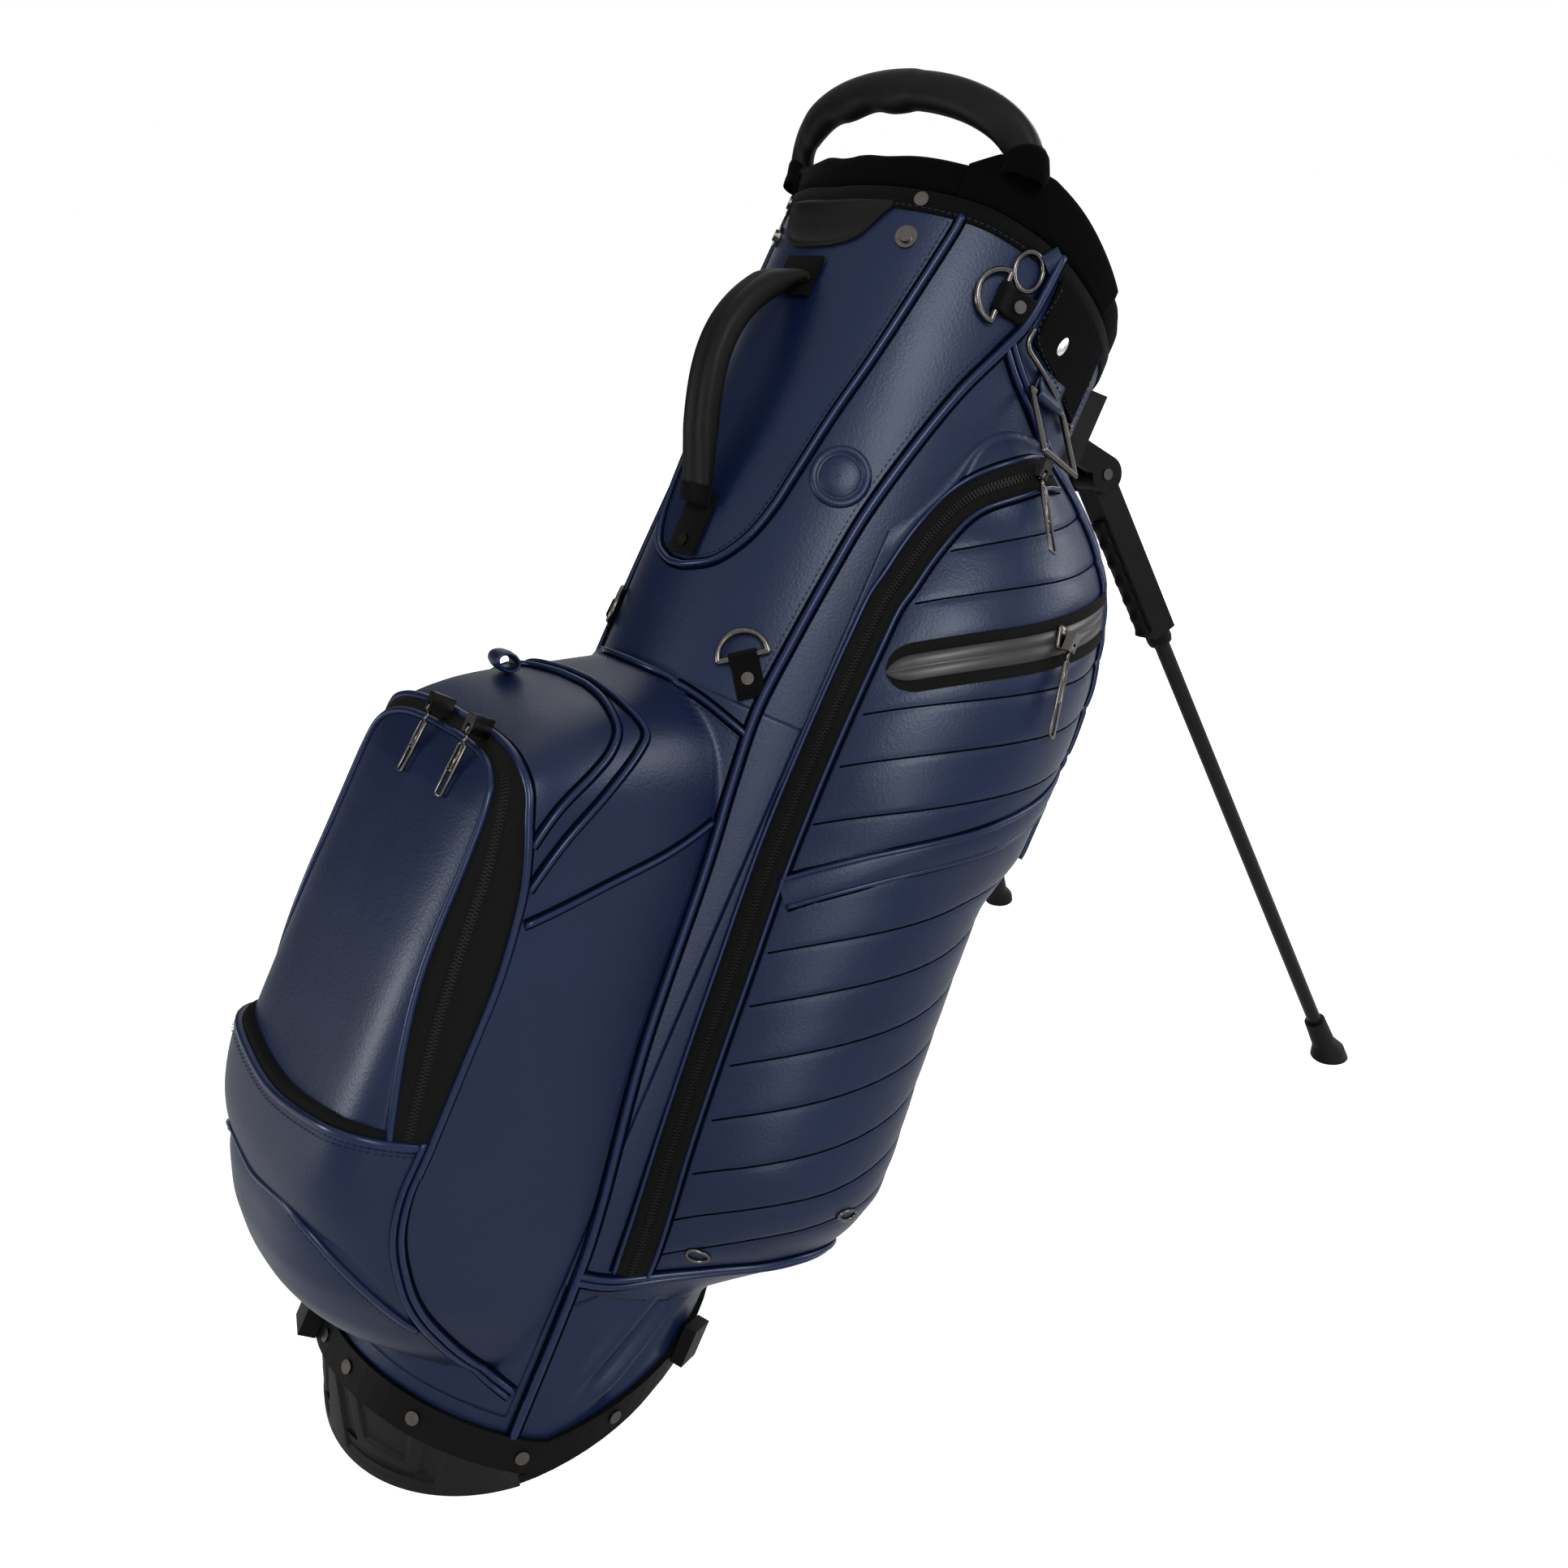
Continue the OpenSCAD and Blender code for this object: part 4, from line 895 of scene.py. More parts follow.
class BAG_OT_ball_pocket(bpy.types.Operator):
    """Ball pocket with its front panel, zip gusset, shelf and slip pocket"""
    bl_idname = "stand_bag.ball_pocket"
    bl_label = "Ball pocket"

    def execute(self, context):
        p = settings()
        body = patch("ball_pocket", ball_r, np.linspace(*BALL_TURN, 121), np.linspace(*BALL_SPAN, 150))
        rest(paint(body, MATS["leather"]), "leather", "bag", "ball_pocket_body")
        outer = smooth_path(GUSSET_SEAM, 3)
        lower = outer[outer[:, 1] < 204]
        a, b = (self.zip_seam(q) for q in (smooth_path(PANEL_SEAM, 3), outer))
        self.gusset(a, b)
        self.panel(a)
        self.seams(p, a, b, lower)
        self.slip(p)
        self.loop()
        return {"FINISHED"}

    def zip_seam(self, path):
        """A seam of the zip gusset, from foot to foot over the spine, in even points."""
        half = path[path[:, 1] > 180]
        whole = np.vstack([half, (half * (-1, 1))[::-1][1:]])
        return resample(np.linspace(0, 1, 240), np.linspace(0, 1, len(whole)), whole)

    def gusset(self, a, b):
        """Black zip gusset between the two seams, hollowed along the teeth."""
        share = np.linspace(0, 1, 11)
        al = a[:, None, 0] + (b - a)[:, None, 0] * share
        h = a[:, None, 1] + (b - a)[:, None, 1] * share
        pts, _ = skin(ball_r, al, h, 1.0 - 1.4 * np.exp(-((share - 0.45) / 0.22) ** 2) + 0 * al)
        uv = np.stack(np.meshgrid(np.linspace(0, 0.6, len(a)), share * 0.03, indexing="ij"), -1)
        band = thicken(grid("ball_gusset", world(pts), uv=uv), 1.0)
        rest(paint(band, MATS["tape"]), "fabric", "bag", "ball_zip_gusset")
        rest(teeth("ball_teeth", ball_r, a + (b - a) * 0.45, MATS["coil"], 0.6), "fabric")

    def panel(self, a):
        """Front panel, in rows between the two sides of the inner seam."""
        rows = np.array([np.stack([np.linspace(a[i, 0], a[-1 - i, 0], 49), np.full(49, a[i, 1])], -1)
                         for i in range(len(a) // 2)])
        across = rows[..., 0] / np.maximum(1, np.abs(rows[:, :1, 0]))
        soft = 3.2 * (1 - across ** 4) * np.clip((416 - rows[..., 1]) / 30, 0, 1)
        pts, _ = skin(ball_r, rows[..., 0], rows[..., 1], 1.2 + soft)
        panel = thicken(grid("ball_panel", np.swapaxes(world(pts), 0, 1)[::-1]), 1.6)
        rest(paint(panel, MATS["leather"]), "leather", "bag", "ball_pocket_panel")

    def seams(self, p, a, b, lower):
        """Piping and stitches of the gusset, the shelf and the sides."""
        cords = piped(ball_r, a, (0.0,), p.piping_r + 0.2, 2.2)
        cords += piped(ball_r, b, (0.0,), p.piping_r + 0.4, 2.0)
        neck = over_spine([(46, 483), (40, 487), (30, 492.7), (20, 496), (9, 497), (0.5, 497.2)])
        cords += piped(ball_r, neck, (0.0,), p.piping_r, 1.6)
        for path in SHELF_SEAMS:
            cords += piped(ball_r, over_spine(path), (0.0,), p.piping_r * 0.95, 1.3)
        for side in (-1, 1):
            cords += piped(tail_r, lower * (side, 1), (0.0, 4.6 * side)[::side], p.piping_r, 1.8)
            seam = smooth_path(mirrored([(46.5, 426), (40.9, 402.6), (34, 373.6), (27.4, 337)], side), 3)
            cords += piped(ball_r, seam, (0.0,), p.piping_r * 0.95, 1.2)
        rest(join("ball_piping", cords), "leather")
        rest(stitches("ball_stitches", ball_r, [(a, 5), (neck, 5), (lower, 5), (lower * (-1, 1), -5)],
                      MATS["thread"], p.stitch_pitch, 0.5), "leather")

    def slip(self, p):
        """Open pocket across the foot of the front panel, between the gusset's seams."""
        top = curve([(-28, 203), (-23, 199), (-17, 195), (-7.5, 187), (0, 183), (7.5, 187), (17, 195),
                     (23, 199), (28, 203)], 4)
        seam = curve([(-34, 79), (-29, 97), (-26, 112), (-22, 127), (-14, 135), (0, 128), (14, 135),
                      (22, 127), (26, 112), (29, 97), (34, 79)], 2)
        edge = curve([(79, 34), (97, 32), (112, 30), (126, 28.6), (146, 27.6), (172, 27.1), (205, 27.2)], 6)

        def radius(al, h):
            f = np.clip((h - seam(al)) / 60, 0, 1)
            side = np.clip(1 - (np.abs(al) / (edge(h) + 0.2)) ** 4, 0, 1)
            return ball_r(al, h) + 1.4 + 12.5 * f ** 0.6 * side
        x = np.linspace(-1, 1, 101)[:, None]
        t = np.linspace(0, 1, 46)[None, :]
        h = (1 - t) * seam(34 * x) + t * top(27.2 * x)
        al = x * edge(h)
        pts, _ = skin(radius, al, h)
        pocket = thicken(grid("slip_leather", world(pts), uv=np.stack([al * 0.004, h / 1000], -1)), 2.2)
        rim = smooth_path(np.stack([al[:, -1], h[:, -1]], -1)[::4], 3)
        hem = strip("slip_hem", radius, rim, [(-5, -2.6), (-5, 0.5), (-0.8, 1.0), (0.5, 0.2), (0.5, -2.8)])
        lining = strip("slip_lining", radius, rim, [(-3, -9), (-3, -3), (2.5, -3.2), (5, -4.5), (5, -10)])
        foot = smooth_path(np.stack([al[:, 0], h[:, 0]], -1)[::3], 3)
        obs = [paint(pocket, MATS["leather"]), paint(hem, MATS["piping"]), paint(lining, MATS["tape"])]
        obs += piped(ball_r, foot, (0.0,), p.piping_r, 1.6)
        rest(join("slip_pocket", obs), "leather", "bag", "slip_pocket")
        rest(stitches("slip_stitches", radius, [(rim, -7.5), (foot, -4)], MATS["thread"], p.stitch_pitch,
                      0.5), "leather")

    def loop(self):
        """Rolled leather pull loop on the shelf."""
        lo, hi = (Vector(v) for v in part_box("pull_loop"))
        c = np.array((lo + hi) / 2)
        a = np.radians(-12)
        out = spin(np.array([-np.cos(a), -np.sin(a), 0.0]))
        up = spin(np.array([0, 0, 1.0]))
        t = circle(40)
        ring = c + np.outer(np.cos(t), out) * 0.0072 + np.outer(np.sin(t), up) * 0.0052
        ob = tube_along("pull_loop", ring, (0.0115, 0.0019), 12, up=np.cross(out, up), wrap=True)
        rest(paint(ob, MATS["leather"]), "leather", "bag", "pull_loop")


class BAG_OT_side_pockets(bpy.types.Operator):
    """Quilted side pockets with their zips and welts"""
    bl_idname = "stand_bag.side_pockets"
    bl_label = "Side pockets"

    def execute(self, context):
        p = settings()
        for side, name in ((1, "right"), (-1, "left")):
            als = np.linspace(*SIDE_TURN, 136)
            ob = patch("apparel_" + name, apparel_r, side * als[::side], np.linspace(*SIDE_SPAN, 330))
            rest(paint(ob, MATS["leather"]), "leather", "bag", "apparel_pocket_" + name)
            path = smooth_path(mirrored(ZIP_SIDE, side), 3)
            tape = strip("zip_" + name, apparel_plain_r, path,
                         [(-9.5, 0.2), (-9.5, 1.6), (-5, 1.9), (-2.5, 1.5), (0, 1.2), (2.5, 1.5), (5, 1.9),
                          (9.5, 1.6), (9.5, 0.2)])
            rest(paint(tape, MATS["tape"]), "fabric", "bag", "apparel_tape_" + name)
            rest(teeth("zip_teeth_" + name, apparel_plain_r, path, MATS["coil"], 1.8), "fabric")
            cords = []
            for edge in (-11.0, 11.0):
                cords += piped(apparel_plain_r, path, (edge,), p.piping_r * 0.75, 1.4)
            hem = smooth_path(mirrored(HEM_SIDE, side), 3)
            cords += piped(apparel_r, hem, (0.0, -4.6 * side)[::-side], p.piping_r + 0.3, 1.2)
            for al, h in ((88.5, 169), (109.3, 225)):
                k = circle(32)
                ring, n = skin(apparel_r, side * al + 2.4 * np.cos(k), h + 4 * np.sin(k), 0.8)
                cords.append(paint(tube_along("eyelet", world(ring), 0.0013, 8, up=spin(n), wrap=True),
                                   MATS["metal"]))
            runs = []
            for q in QUILT:
                a0, rise = quilt_line(q)
                line = [(side * a, q + rise * (a - a0)) for a in np.linspace(a0 + 1, 146, 27)]
                line = [(a, h) for a, h in line if abs(a) > APPAREL_EDGE(h) + 8 and 150 < h < 722]
                if len(line) > 3:
                    runs.append((smooth_path(line, 3), 0))
                    # a near-black cord along each quilt line: painted shade in its dent
                    cords.append(paint(offset_cord("groove", apparel_r, runs[-1][0], 0, 0.75, -0.05),
                                       MATS["groove"]))
            rest(join("pocket_piping_" + name, cords), "leather")
            rest(stitches("quilt_stitches_" + name, apparel_r, runs, MATS["thread"], p.stitch_pitch, 0.25,
                          (2.9, 0.7, 0.6)), "leather")
            self.welts(side, name)
        return {"FINISHED"}

    def welts(self, side, name):
        """Black zip welt of the valuables pocket, and the leather welt of the slip pocket below it."""
        a0, h0, rise = WELT
        mid = smooth_path([(side * a, h0 + rise * (a - a0)) for a in np.linspace(a0, 127, 19)], 2)
        s = np.linspace(0, 1, len(mid))
        taper = np.sqrt(np.clip(1 - (1 - np.clip(s / 0.09, 0, 1)) ** 2, 0.02, 1))
        rim = [(-15, 0), (-15, 1.8), (-14, 2.4), (-9, 2.4), (-8.4, 0.6), (8.4, 0.6), (9, 2.4), (14, 2.4),
               (15, 1.8), (15, 0)]
        coil = [(-8.2, 0.8), (-7.6, 1.6), (-0.7, 1.7), (0, 1.0), (0.7, 1.7), (7.6, 1.6), (8.2, 0.8)]
        obs = [paint(strip("welt_frame", apparel_r, mid, rim, taper=taper), MATS["tape"]),
               paint(strip("welt_zip", apparel_r, mid, coil, taper=taper), MATS["shine"])]
        rest(join("valuables_" + name, obs), "fabric", "bag", "valuables_welt_" + name)
        a0, h0, rise = LOW_WELT
        low_mid = smooth_path([(side * a, h0 + rise * (a - a0)) for a in np.linspace(a0 - 3, 126, 21)], 3)
        welt = strip("welt_" + name, apparel_r, low_mid, [(-8, -1), (-8, 2.4), (-6, 3.4), (0, 3.8),
                                                          (6, 3.4), (8, 2.4), (8, -1)])
        obs = [paint(welt, MATS["leather"])]
        for edge in (-8.4, 8.4):
            obs += piped(apparel_r, low_mid, (edge,), 1.7, 1.8)
        rest(join("pocket_welt_" + name, obs), "leather")


class BAG_OT_mouth(bpy.types.Operator):
    """Padded cuff, rim binding, badge and flap"""
    bl_idname = "stand_bag.mouth"
    bl_label = "Club mouth"

    def execute(self, context):
        p = settings()
        self.cuff()
        self.binding(p)
        self.badge()
        self.flap(p)
        return {"FINISHED"}

    def cuff(self):
        """Padded cuff round the mouth, a little uneven along its top."""
        al = np.linspace(-180, 180, 241)[:-1]
        a = np.radians(al)
        rim = RIM(turn(al))
        ring = []
        for k in circle(32):
            c, s = math.cos(k), math.sin(k)
            wide, high = squarer(c, 0.62), squarer(s, 0.7)
            r = TUBE_R - 8.2 + 9.0 * wide + 0.5 * np.sin(a * 23) * max(0, s)
            h = rim + CUFF_H / 2 + 0.3 + (CUFF_H / 2 - 0.1) * high + 0.6 * np.sin(a * 17) * max(0, s)
            ring.append(np.stack([-r * np.cos(a), -r * np.sin(a), h], -1))
        cuff = grid("cuff_pad", world(np.stack(ring, 1)), wrap_i=True, wrap_j=True)
        rest(paint(cuff, MATS["cuff"]), "fabric", "bag", "cuff_pad")

    def binding(self, p):
        """Webbing sewn round the rim."""
        al = np.linspace(-180, 180, 361)
        loop = np.stack([al, RIM(turn(al)) - 6], -1)
        band = strip("rim_binding", tube_r, loop, [(-7, 0), (-6.6, 1.7), (0, 2.1), (6.0, 1.9), (6.6, 0.6),
                                                   (6.4, -1.5)])
        rest(paint(band, MATS["webbing"]), "fabric", "bag", "rim_binding")
        rest(stitches("rim_stitches", tube_r, [(loop, -4.6)], MATS["thread"], p.stitch_pitch, 1.95), "fabric")

    def badge(self):
        """Bare rubber badge on the spine."""
        als = np.linspace(-23.5, 23.5, 61)
        out = []
        deep = np.interp(np.abs(als), [0, 8, 13, 16.4, 19, 21.6, 23.5], [32, 31.5, 29, 25, 18, 9, 4])
        for f, lift in ((1.0, 0.0), (1.0, 2.0), (0.96, 2.8), (0.9, 3.0), (0.86, 2.3), (0.6, 2.2),
                        (0.4, 2.2), (0.14, 2.3), (0.1, 3.0), (0.04, 2.8), (0.0, 2.0), (0.0, 0.0)):
            h = RIM(turn(als)) - 9 - deep * f
            out.append(skin(tube_r, als, h, lift)[0])
        rest(paint(grid("badge", world(np.stack(out, 1))), MATS["rubber"]), "rubber", "bag", "badge_patch")

    def flap(self, p):
        """Leather flap with hook tape by the mouth."""
        def foot(al):
            return 778 - 0.62 * (al - 80)

        def height(al, share):
            return foot(al) + share * (RIM(turn(al)) - 9 - foot(al))
        ob = patch("glove_flap", tube_r, np.linspace(79, 112, 49), height, 3.0, 2.6, 30)
        edge = smooth_path([(80.2, 816), (80.4, foot(80.4) + 2.5), (110.8, foot(110.8) + 2.5),
                            (110.8, 804)], 2)
        k = circle(32)[:, None]
        rho = np.array([0.05, 0.5, 0.9, 1.0])
        pts, _ = skin(tube_r, 89.5 + rho * (1.8 * np.cos(k) + 0.6 * np.sin(k)), 789 + 6.6 * rho * np.sin(k),
                      3.9 - rho ** 4)
        eye = paint(grid("slot", world(pts), wrap_i=True), MATS["nickel"])
        bar = smooth_path([(76.5, 786), (76.8, 775), (84, 768), (110.5, 751), (111, 757)], 1)
        metal = paint(offset_cord("flap_bar", tube_r, bar, 0.0, 1.7, 4.0), MATS["metal"])
        rest(join("glove_flap", [paint(ob, MATS["hook"]), eye, metal]), "fabric", "bag", "glove_flap")
        k = circle(40)
        ring, n = skin(tube_r, 67.8 + 4.7 * np.cos(k), 814 + 12 * np.sin(k), 3.2 - 1.0 * np.cos(k))
        obs = [paint(tube_along("small_ring", world(ring), 0.0016, 10, up=spin(n), wrap=True), MATS["metal"])]
        tab = smooth_path([(75, 833), (71.5, 822)], 2)
        obs.append(paint(strip("small_tab", tube_r, tab, [(-6, 2.6), (-6, 4.4), (0, 5.2), (6, 4.4),
                                                          (6, 2.6)]), MATS["leather"]))
        rest(join("small_ring", obs), "leather")
        rest(stitches("flap_stitches", lambda al, h: tube_r(al, h) + 3.0, [(edge, 0)], MATS["thread"],
                      p.stitch_pitch), "leather")


class BAG_OT_handles(bpy.types.Operator):
    """Top handle, its sleeves and the carry handle"""
    bl_idname = "stand_bag.handles"
    bl_label = "Handles"

    def execute(self, context):
        self.top()
        self.carry()
        return {"FINISHED"}

    def top(self):
        """Moulded grip over the mouth, and the sleeves at its ends."""
        end = math.radians(55)
        foot_r, foot_h, rise, out = TUBE_R + 7, 861.7, 33.0, 41.0
        s, x = math.sin(end) * foot_r, -math.cos(end) * foot_r
        a = np.radians(np.linspace(0, 180, 161))
        arch = np.stack([x - out * np.sin(a), -s * np.cos(a),
                         foot_h + 3 + rise * np.maximum(0, np.sin(a)) ** 0.78], -1)
        pts = np.vstack([[x, -s, foot_h], arch, [x, s, foot_h]])
        across = np.broadcast_to(np.array([1.0, 0, 0]), pts.shape)
        b = np.cross(directions(pts), across)
        b /= np.linalg.norm(b, axis=1, keepdims=True)
        y = pts[:, 1] / s
        # finger bumps under the grip, on all but the photographed end
        grip = np.clip((y + 0.28) / 0.06, 0, 1) * np.clip((0.86 - y) / 0.08, 0, 1)
        bumps = 1.5 * grip * (np.cos((y - 0.1) * 15.0) - 0.4)
        ang = circle(32)
        rings = []
        for k in ang:
            c, q = math.cos(k), math.sin(k)
            wide = 9.0 * squarer(c, 0.75) * (1 + 0.05 * grip)
            deep = 12.3 * squarer(q, 0.75) * (1 - 0.06 * (1 - grip))
            rings.append(pts + across * wide[:, None] + b * (deep - bumps * max(0.0, q))[:, None])
        ob = grid("top_grip", world(np.stack(rings, 1)), wrap_j=True, caps=True)
        rest(paint(ob, MATS["rubber"]), "rubber", "bag", "top_handle")
        sleeves = []
        for side in (-1, 1):
            al = np.linspace(40, 102, 63)
            rim = RIM(al)
            peak = np.interp(al, [40, 47, 64, 102], [20, 31, 33, 19])
            ring = [skin(lambda q, _: TUBE_R + 1.0 + 0 * q, al * side, rim + 1 + (peak - 1) * t,
                         3.4 * math.sin(1.8 * t))[0]
                    for t in np.linspace(0, 1, 9)]
            sleeves.append(thicken(grid("sleeve", world(np.stack(ring, 1))[::side]), 3.0, 0.0))
            collar = []
            for w, k in ((-5, 1.2), (0, 1.24), (4, 1.24), (9, 1.16), (12, 1.03)):
                i = np.argmin(np.abs(pts[:len(pts) // 2, 2] - (foot_h + max(0, w * 0.8))))
                j = i if side < 0 else len(pts) - 1 - i
                c = pts[j] + np.array([0, 0, min(0, w)])
                collar.append(c + np.outer(np.cos(ang), across[j]) * 9.4 * k
                              + np.outer(np.sin(ang), b[j]) * 12.6 * k)
            ring = world(np.stack(collar, 0))
            sleeves.append(thicken(grid("sleeve_top", ring, wrap_j=True), 1.0))
        for q in sleeves:
            paint(q, MATS["cuff"])
        rest(join("handle_sleeves", sleeves), "fabric", "bag", "handle_sleeves")

    def carry(self):
        """Ribbed carry handle on the spine, with the tabs it is sewn on by."""
        foot, mid, half, stand, deep = -TUBE_R - 2.8, 685.0, 78.5, 32.0, 8.2
        t_share = (1 - np.cos(np.radians(np.linspace(0, 180, 91)))) / 2
        out = 3.4 + stand * np.maximum(0, np.sin(np.pi * t_share ** 1.4)) ** 0.8
        pts = np.stack([foot - out, 0 * out, mid + half * (2 * t_share - 1)], -1)
        pts = np.vstack([pts, [foot, 0, mid + half]])
        thin = np.minimum(1, np.minimum(0.45 + 2 * t_share, 0.45 + 6 * (1 - t_share)))
        thin = np.append(thin, 0.45)[:, None]
        across = np.broadcast_to(np.array([0, 1.0, 0]), pts.shape)
        b = np.cross(directions(pts), across)
        # two ribs with a groove between them
        prof = []
        for k in circle(40):
            c, s = math.cos(k), math.sin(k)
            wide = 13.4 * squarer(c, 0.7)
            d = deep * squarer(s, 0.75)
            groove = 2.4 * math.exp(-(wide / 2.6) ** 2)
            prof.append((wide, d - math.copysign(groove, d) * (abs(s) > 0.3)))
        flare = 1 + 0.3 * np.append(t_share, 1.0)[:, None] ** 12
        ring = [pts + across * w * flare + b * d * thin for w, d in prof]
        ob = grid("carry_grip", world(np.stack(ring, 1)), wrap_j=True, caps=True)
        rest(paint(ob, MATS["rubber"]), "rubber", "bag", "carry_handle")
        tabs = []
        end = slice(0, 17)
        wrap = [pts[end] + across[end] * w * 1.06 + b[end] * d * thin[end] * 1.2 for w, d in prof]
        tabs.append(paint(grid("carry_fold", world(np.stack(wrap, 1)), wrap_j=True, caps=True),
                          MATS["webbing"]))
        for lo, hi, x in ((574, 616, 13.5), (752, 779, 17.5)):
            path = np.stack([np.zeros(22), np.linspace(lo, hi, 22)], -1)
            tabs.append(paint(strip("tab", tube_r, path, [(-x, 0), (-x, 2.0), (-x + 1, 2.5), (0, 2.6),
                                                          (x - 1, 2.5), (x, 2.0), (x, 0)]),
                              MATS["webbing"]))
        rest(join("carry_tabs", tabs), "fabric", "bag", "carry_handle_tabs")


class BAG_OT_hardware(bpy.types.Operator):
    """Materials and rounded edges of the moulded and metal pieces"""
    bl_idname = "stand_bag.hardware"
    bl_label = "Hardware"

    def execute(self, context):
        kinds = {
            "plastic": (["base_band", "base_floor", "base_lugs", "base_foot", "top_collar", "club_dividers",
                         "leg_bracket", "leg_clevises", "rod_guides"], 1.2),
            "head": (["leg_head_right", "leg_head_left"], 3.0),
            "rubber": (["leg_tip_right", "leg_tip_left"], 0.0),
            "tube": (["leg_tube_right", "leg_tube_left", "stay_rods"], 0.0),
            "metal": (["base_rivets", "base_hinge_pin", "rim_snaps", "tab_rivets", "leg_pins", "push_rods",
                       "ring_upper", "ring_mid_right", "ring_mid_left", "strap_ring", "zip_sliders"], 0.3),
        }
        for mat, (names, bevel) in kinds.items():
            for name in names:
                ob = NODES[name]
                paint(ob, MATS[mat])
                if bevel:
                    m = ob.modifiers.new("Edge", "BEVEL")
                    m.width = bevel / 1000
                    m.segments = 3
                    m.limit_method = "ANGLE"
                    m.angle_limit = math.radians(35)
        m = NODES["base_lugs"].modifiers.new("Edge", "BEVEL")
        m.width = 0.005
        m.segments = 4
        tabs = [loop_tab(place_on(*k), 18, 26, MATS["webbing"])
                for k in ((63, 792, 90), (36, 527, 35), (-36, 527, -35))]
        rest(join("ring_tabs", tabs), "fabric", "bag", "ring_tabs")
        rest(loop_tab(place_on(92, 754), 26, 16, MATS["leather"], -1), "leather", "bag", "strap_tab")
        self.buttons()
        self.cloth()
        self.heel()
        self.leg_grips()
        return {"FINISHED"}

    def leg_grips(self):
        """Ribbed hand grip and knob under each moulded leg head, and the tube's collar."""
        swing, toe = math.radians(-56.8), math.radians(14.3)
        for side, name in ((-1, "right"), (1, "left")):
            def place(p):
                x = p[:, 0] * math.cos(swing) + p[:, 2] * math.sin(swing)
                z = p[:, 2] * math.cos(swing) - p[:, 0] * math.sin(swing)
                c, q = math.cos(side * toe), math.sin(side * toe)
                pivot = (132, side * 78, 757)
                return world(np.stack([x * c - p[:, 1] * q, x * q + p[:, 1] * c, z], -1) + pivot)
            d = np.linspace(34, 132, 120)
            rib = 1 + 0.16 * np.sin(d / 98 * 2 * np.pi * 6) + 0.25 * np.clip((d - 122) / 4, 0, 1)
            grip = place(np.stack([-9.6 + 0 * d, 0 * d, -d], -1))
            obs = [tube_along("grip", grip, np.stack([4.4 * rib, 6.0 * rib], -1) / 1000, 16)]
            d = np.array([126.0, 127, 130, 145, 148, 149])
            size = np.array([6.6, 9.0, 9.6, 9.6, 8.8, 6.4])
            obs.append(tube_along("collar", place(np.stack([0 * d, 0 * d, -d], -1)), size / 1000, 24))
            for ob in obs:
                paint(ob, MATS["plastic"])
            rest(join("leg_grip_" + name, obs), "plastic", "leg_" + name)

    def buttons(self):
        """Pressed leather buttons over the magnets."""
        rho = np.array([0.4, 6, 11, 13, 13.6, 14.6, 17, 18.8, 19.6])
        lift = np.array([2.3, 2.2, 1.7, 0.9, 0.5, 2.0, 2.9, 2.1, -0.3])
        turn_at, height = 41, 652
        k = circle(64)[:, None]
        obs = []
        for side in (-1, 1):
            al = side * turn_at + np.degrees(rho * np.cos(k) / TUBE_R)
            pts, _ = skin(tube_r, al, height + rho * np.sin(k), lift + 0 * k)
            obs.append(paint(grid("button", world(pts), wrap_i=True), MATS["leather"]))
        rest(join("magnet_buttons", obs), "leather", "bag", "magnet_buttons")

    def cloth(self):
        """Full-length divider cloth, hanging in slow waves."""
        top = 793
        obs = []
        for u0, reach in ((None, 107.0), (-34.0, 101.0), (34.0, 101.0)):
            x = np.linspace(-reach, reach, 41)[:, None]
            t = np.linspace(0, 1, 61)[None, :]
            u, v = (x, 0 * x) if u0 is None else (u0 + 0 * x, x)
            foot = low(np.degrees(np.arctan2(-v, -u)), np.hypot(u, v)) + 7
            h = foot + t * (top - foot)
            sway = 1.2 * np.sin(x / 17 + h / 60) * np.sin(np.pi * t)
            u, v = (x + 0 * h, sway) if u0 is None else (u0 + sway, x + 0 * h)
            obs.append(paint(thicken(grid("cloth", world(np.stack([u, v, h], -1))), 1.6, 0.0),
                             MATS["lining"]))
        rest(join("divider_cloth", obs), "fabric", "bag", "divider_cloth")

    def heel(self):
        """Rubber boot over the wedge of the heel, with stepped insets; it rides on the foot."""
        al = np.linspace(-70, 70, 281)[:, None]
        t = np.linspace(0, 1, 61)[None, :]
        a = np.radians(al)
        out = np.stack([-np.cos(a), -np.sin(a), 0 * a], -1)
        foot_r, foot_wide, foot_top = 118.4, 0.98, 2.0
        band_r, band_foot = 122.0, -3.2
        foot = out * foot_r * (foot_wide, 1, 1) + (HINGE_BACK * foot_wide, 0, foot_top)
        band = world(out * band_r + (0, 0, band_foot)) * 1000
        u = (np.abs(al) - 25) / 23
        deep = np.minimum(1 - np.abs(u) - 0.25 * (1 - t), (t - 0.12) * 1.5)
        first, second, third = (np.clip((deep - at) / 0.05, 0, 1) for at in (0.0, 0.26, 0.5))
        lift = 2.0 * second - 2.8 * first - 2.0 * third
        pts = (foot + (band - foot) * t[..., None] + out * lift[..., None]) / 1000
        boot = join("heel_boot", [paint(thicken(grid("boot", pts), 2.0), MATS["rubber"])])
        rest(boot, "rubber", "foot")
        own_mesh(boot)


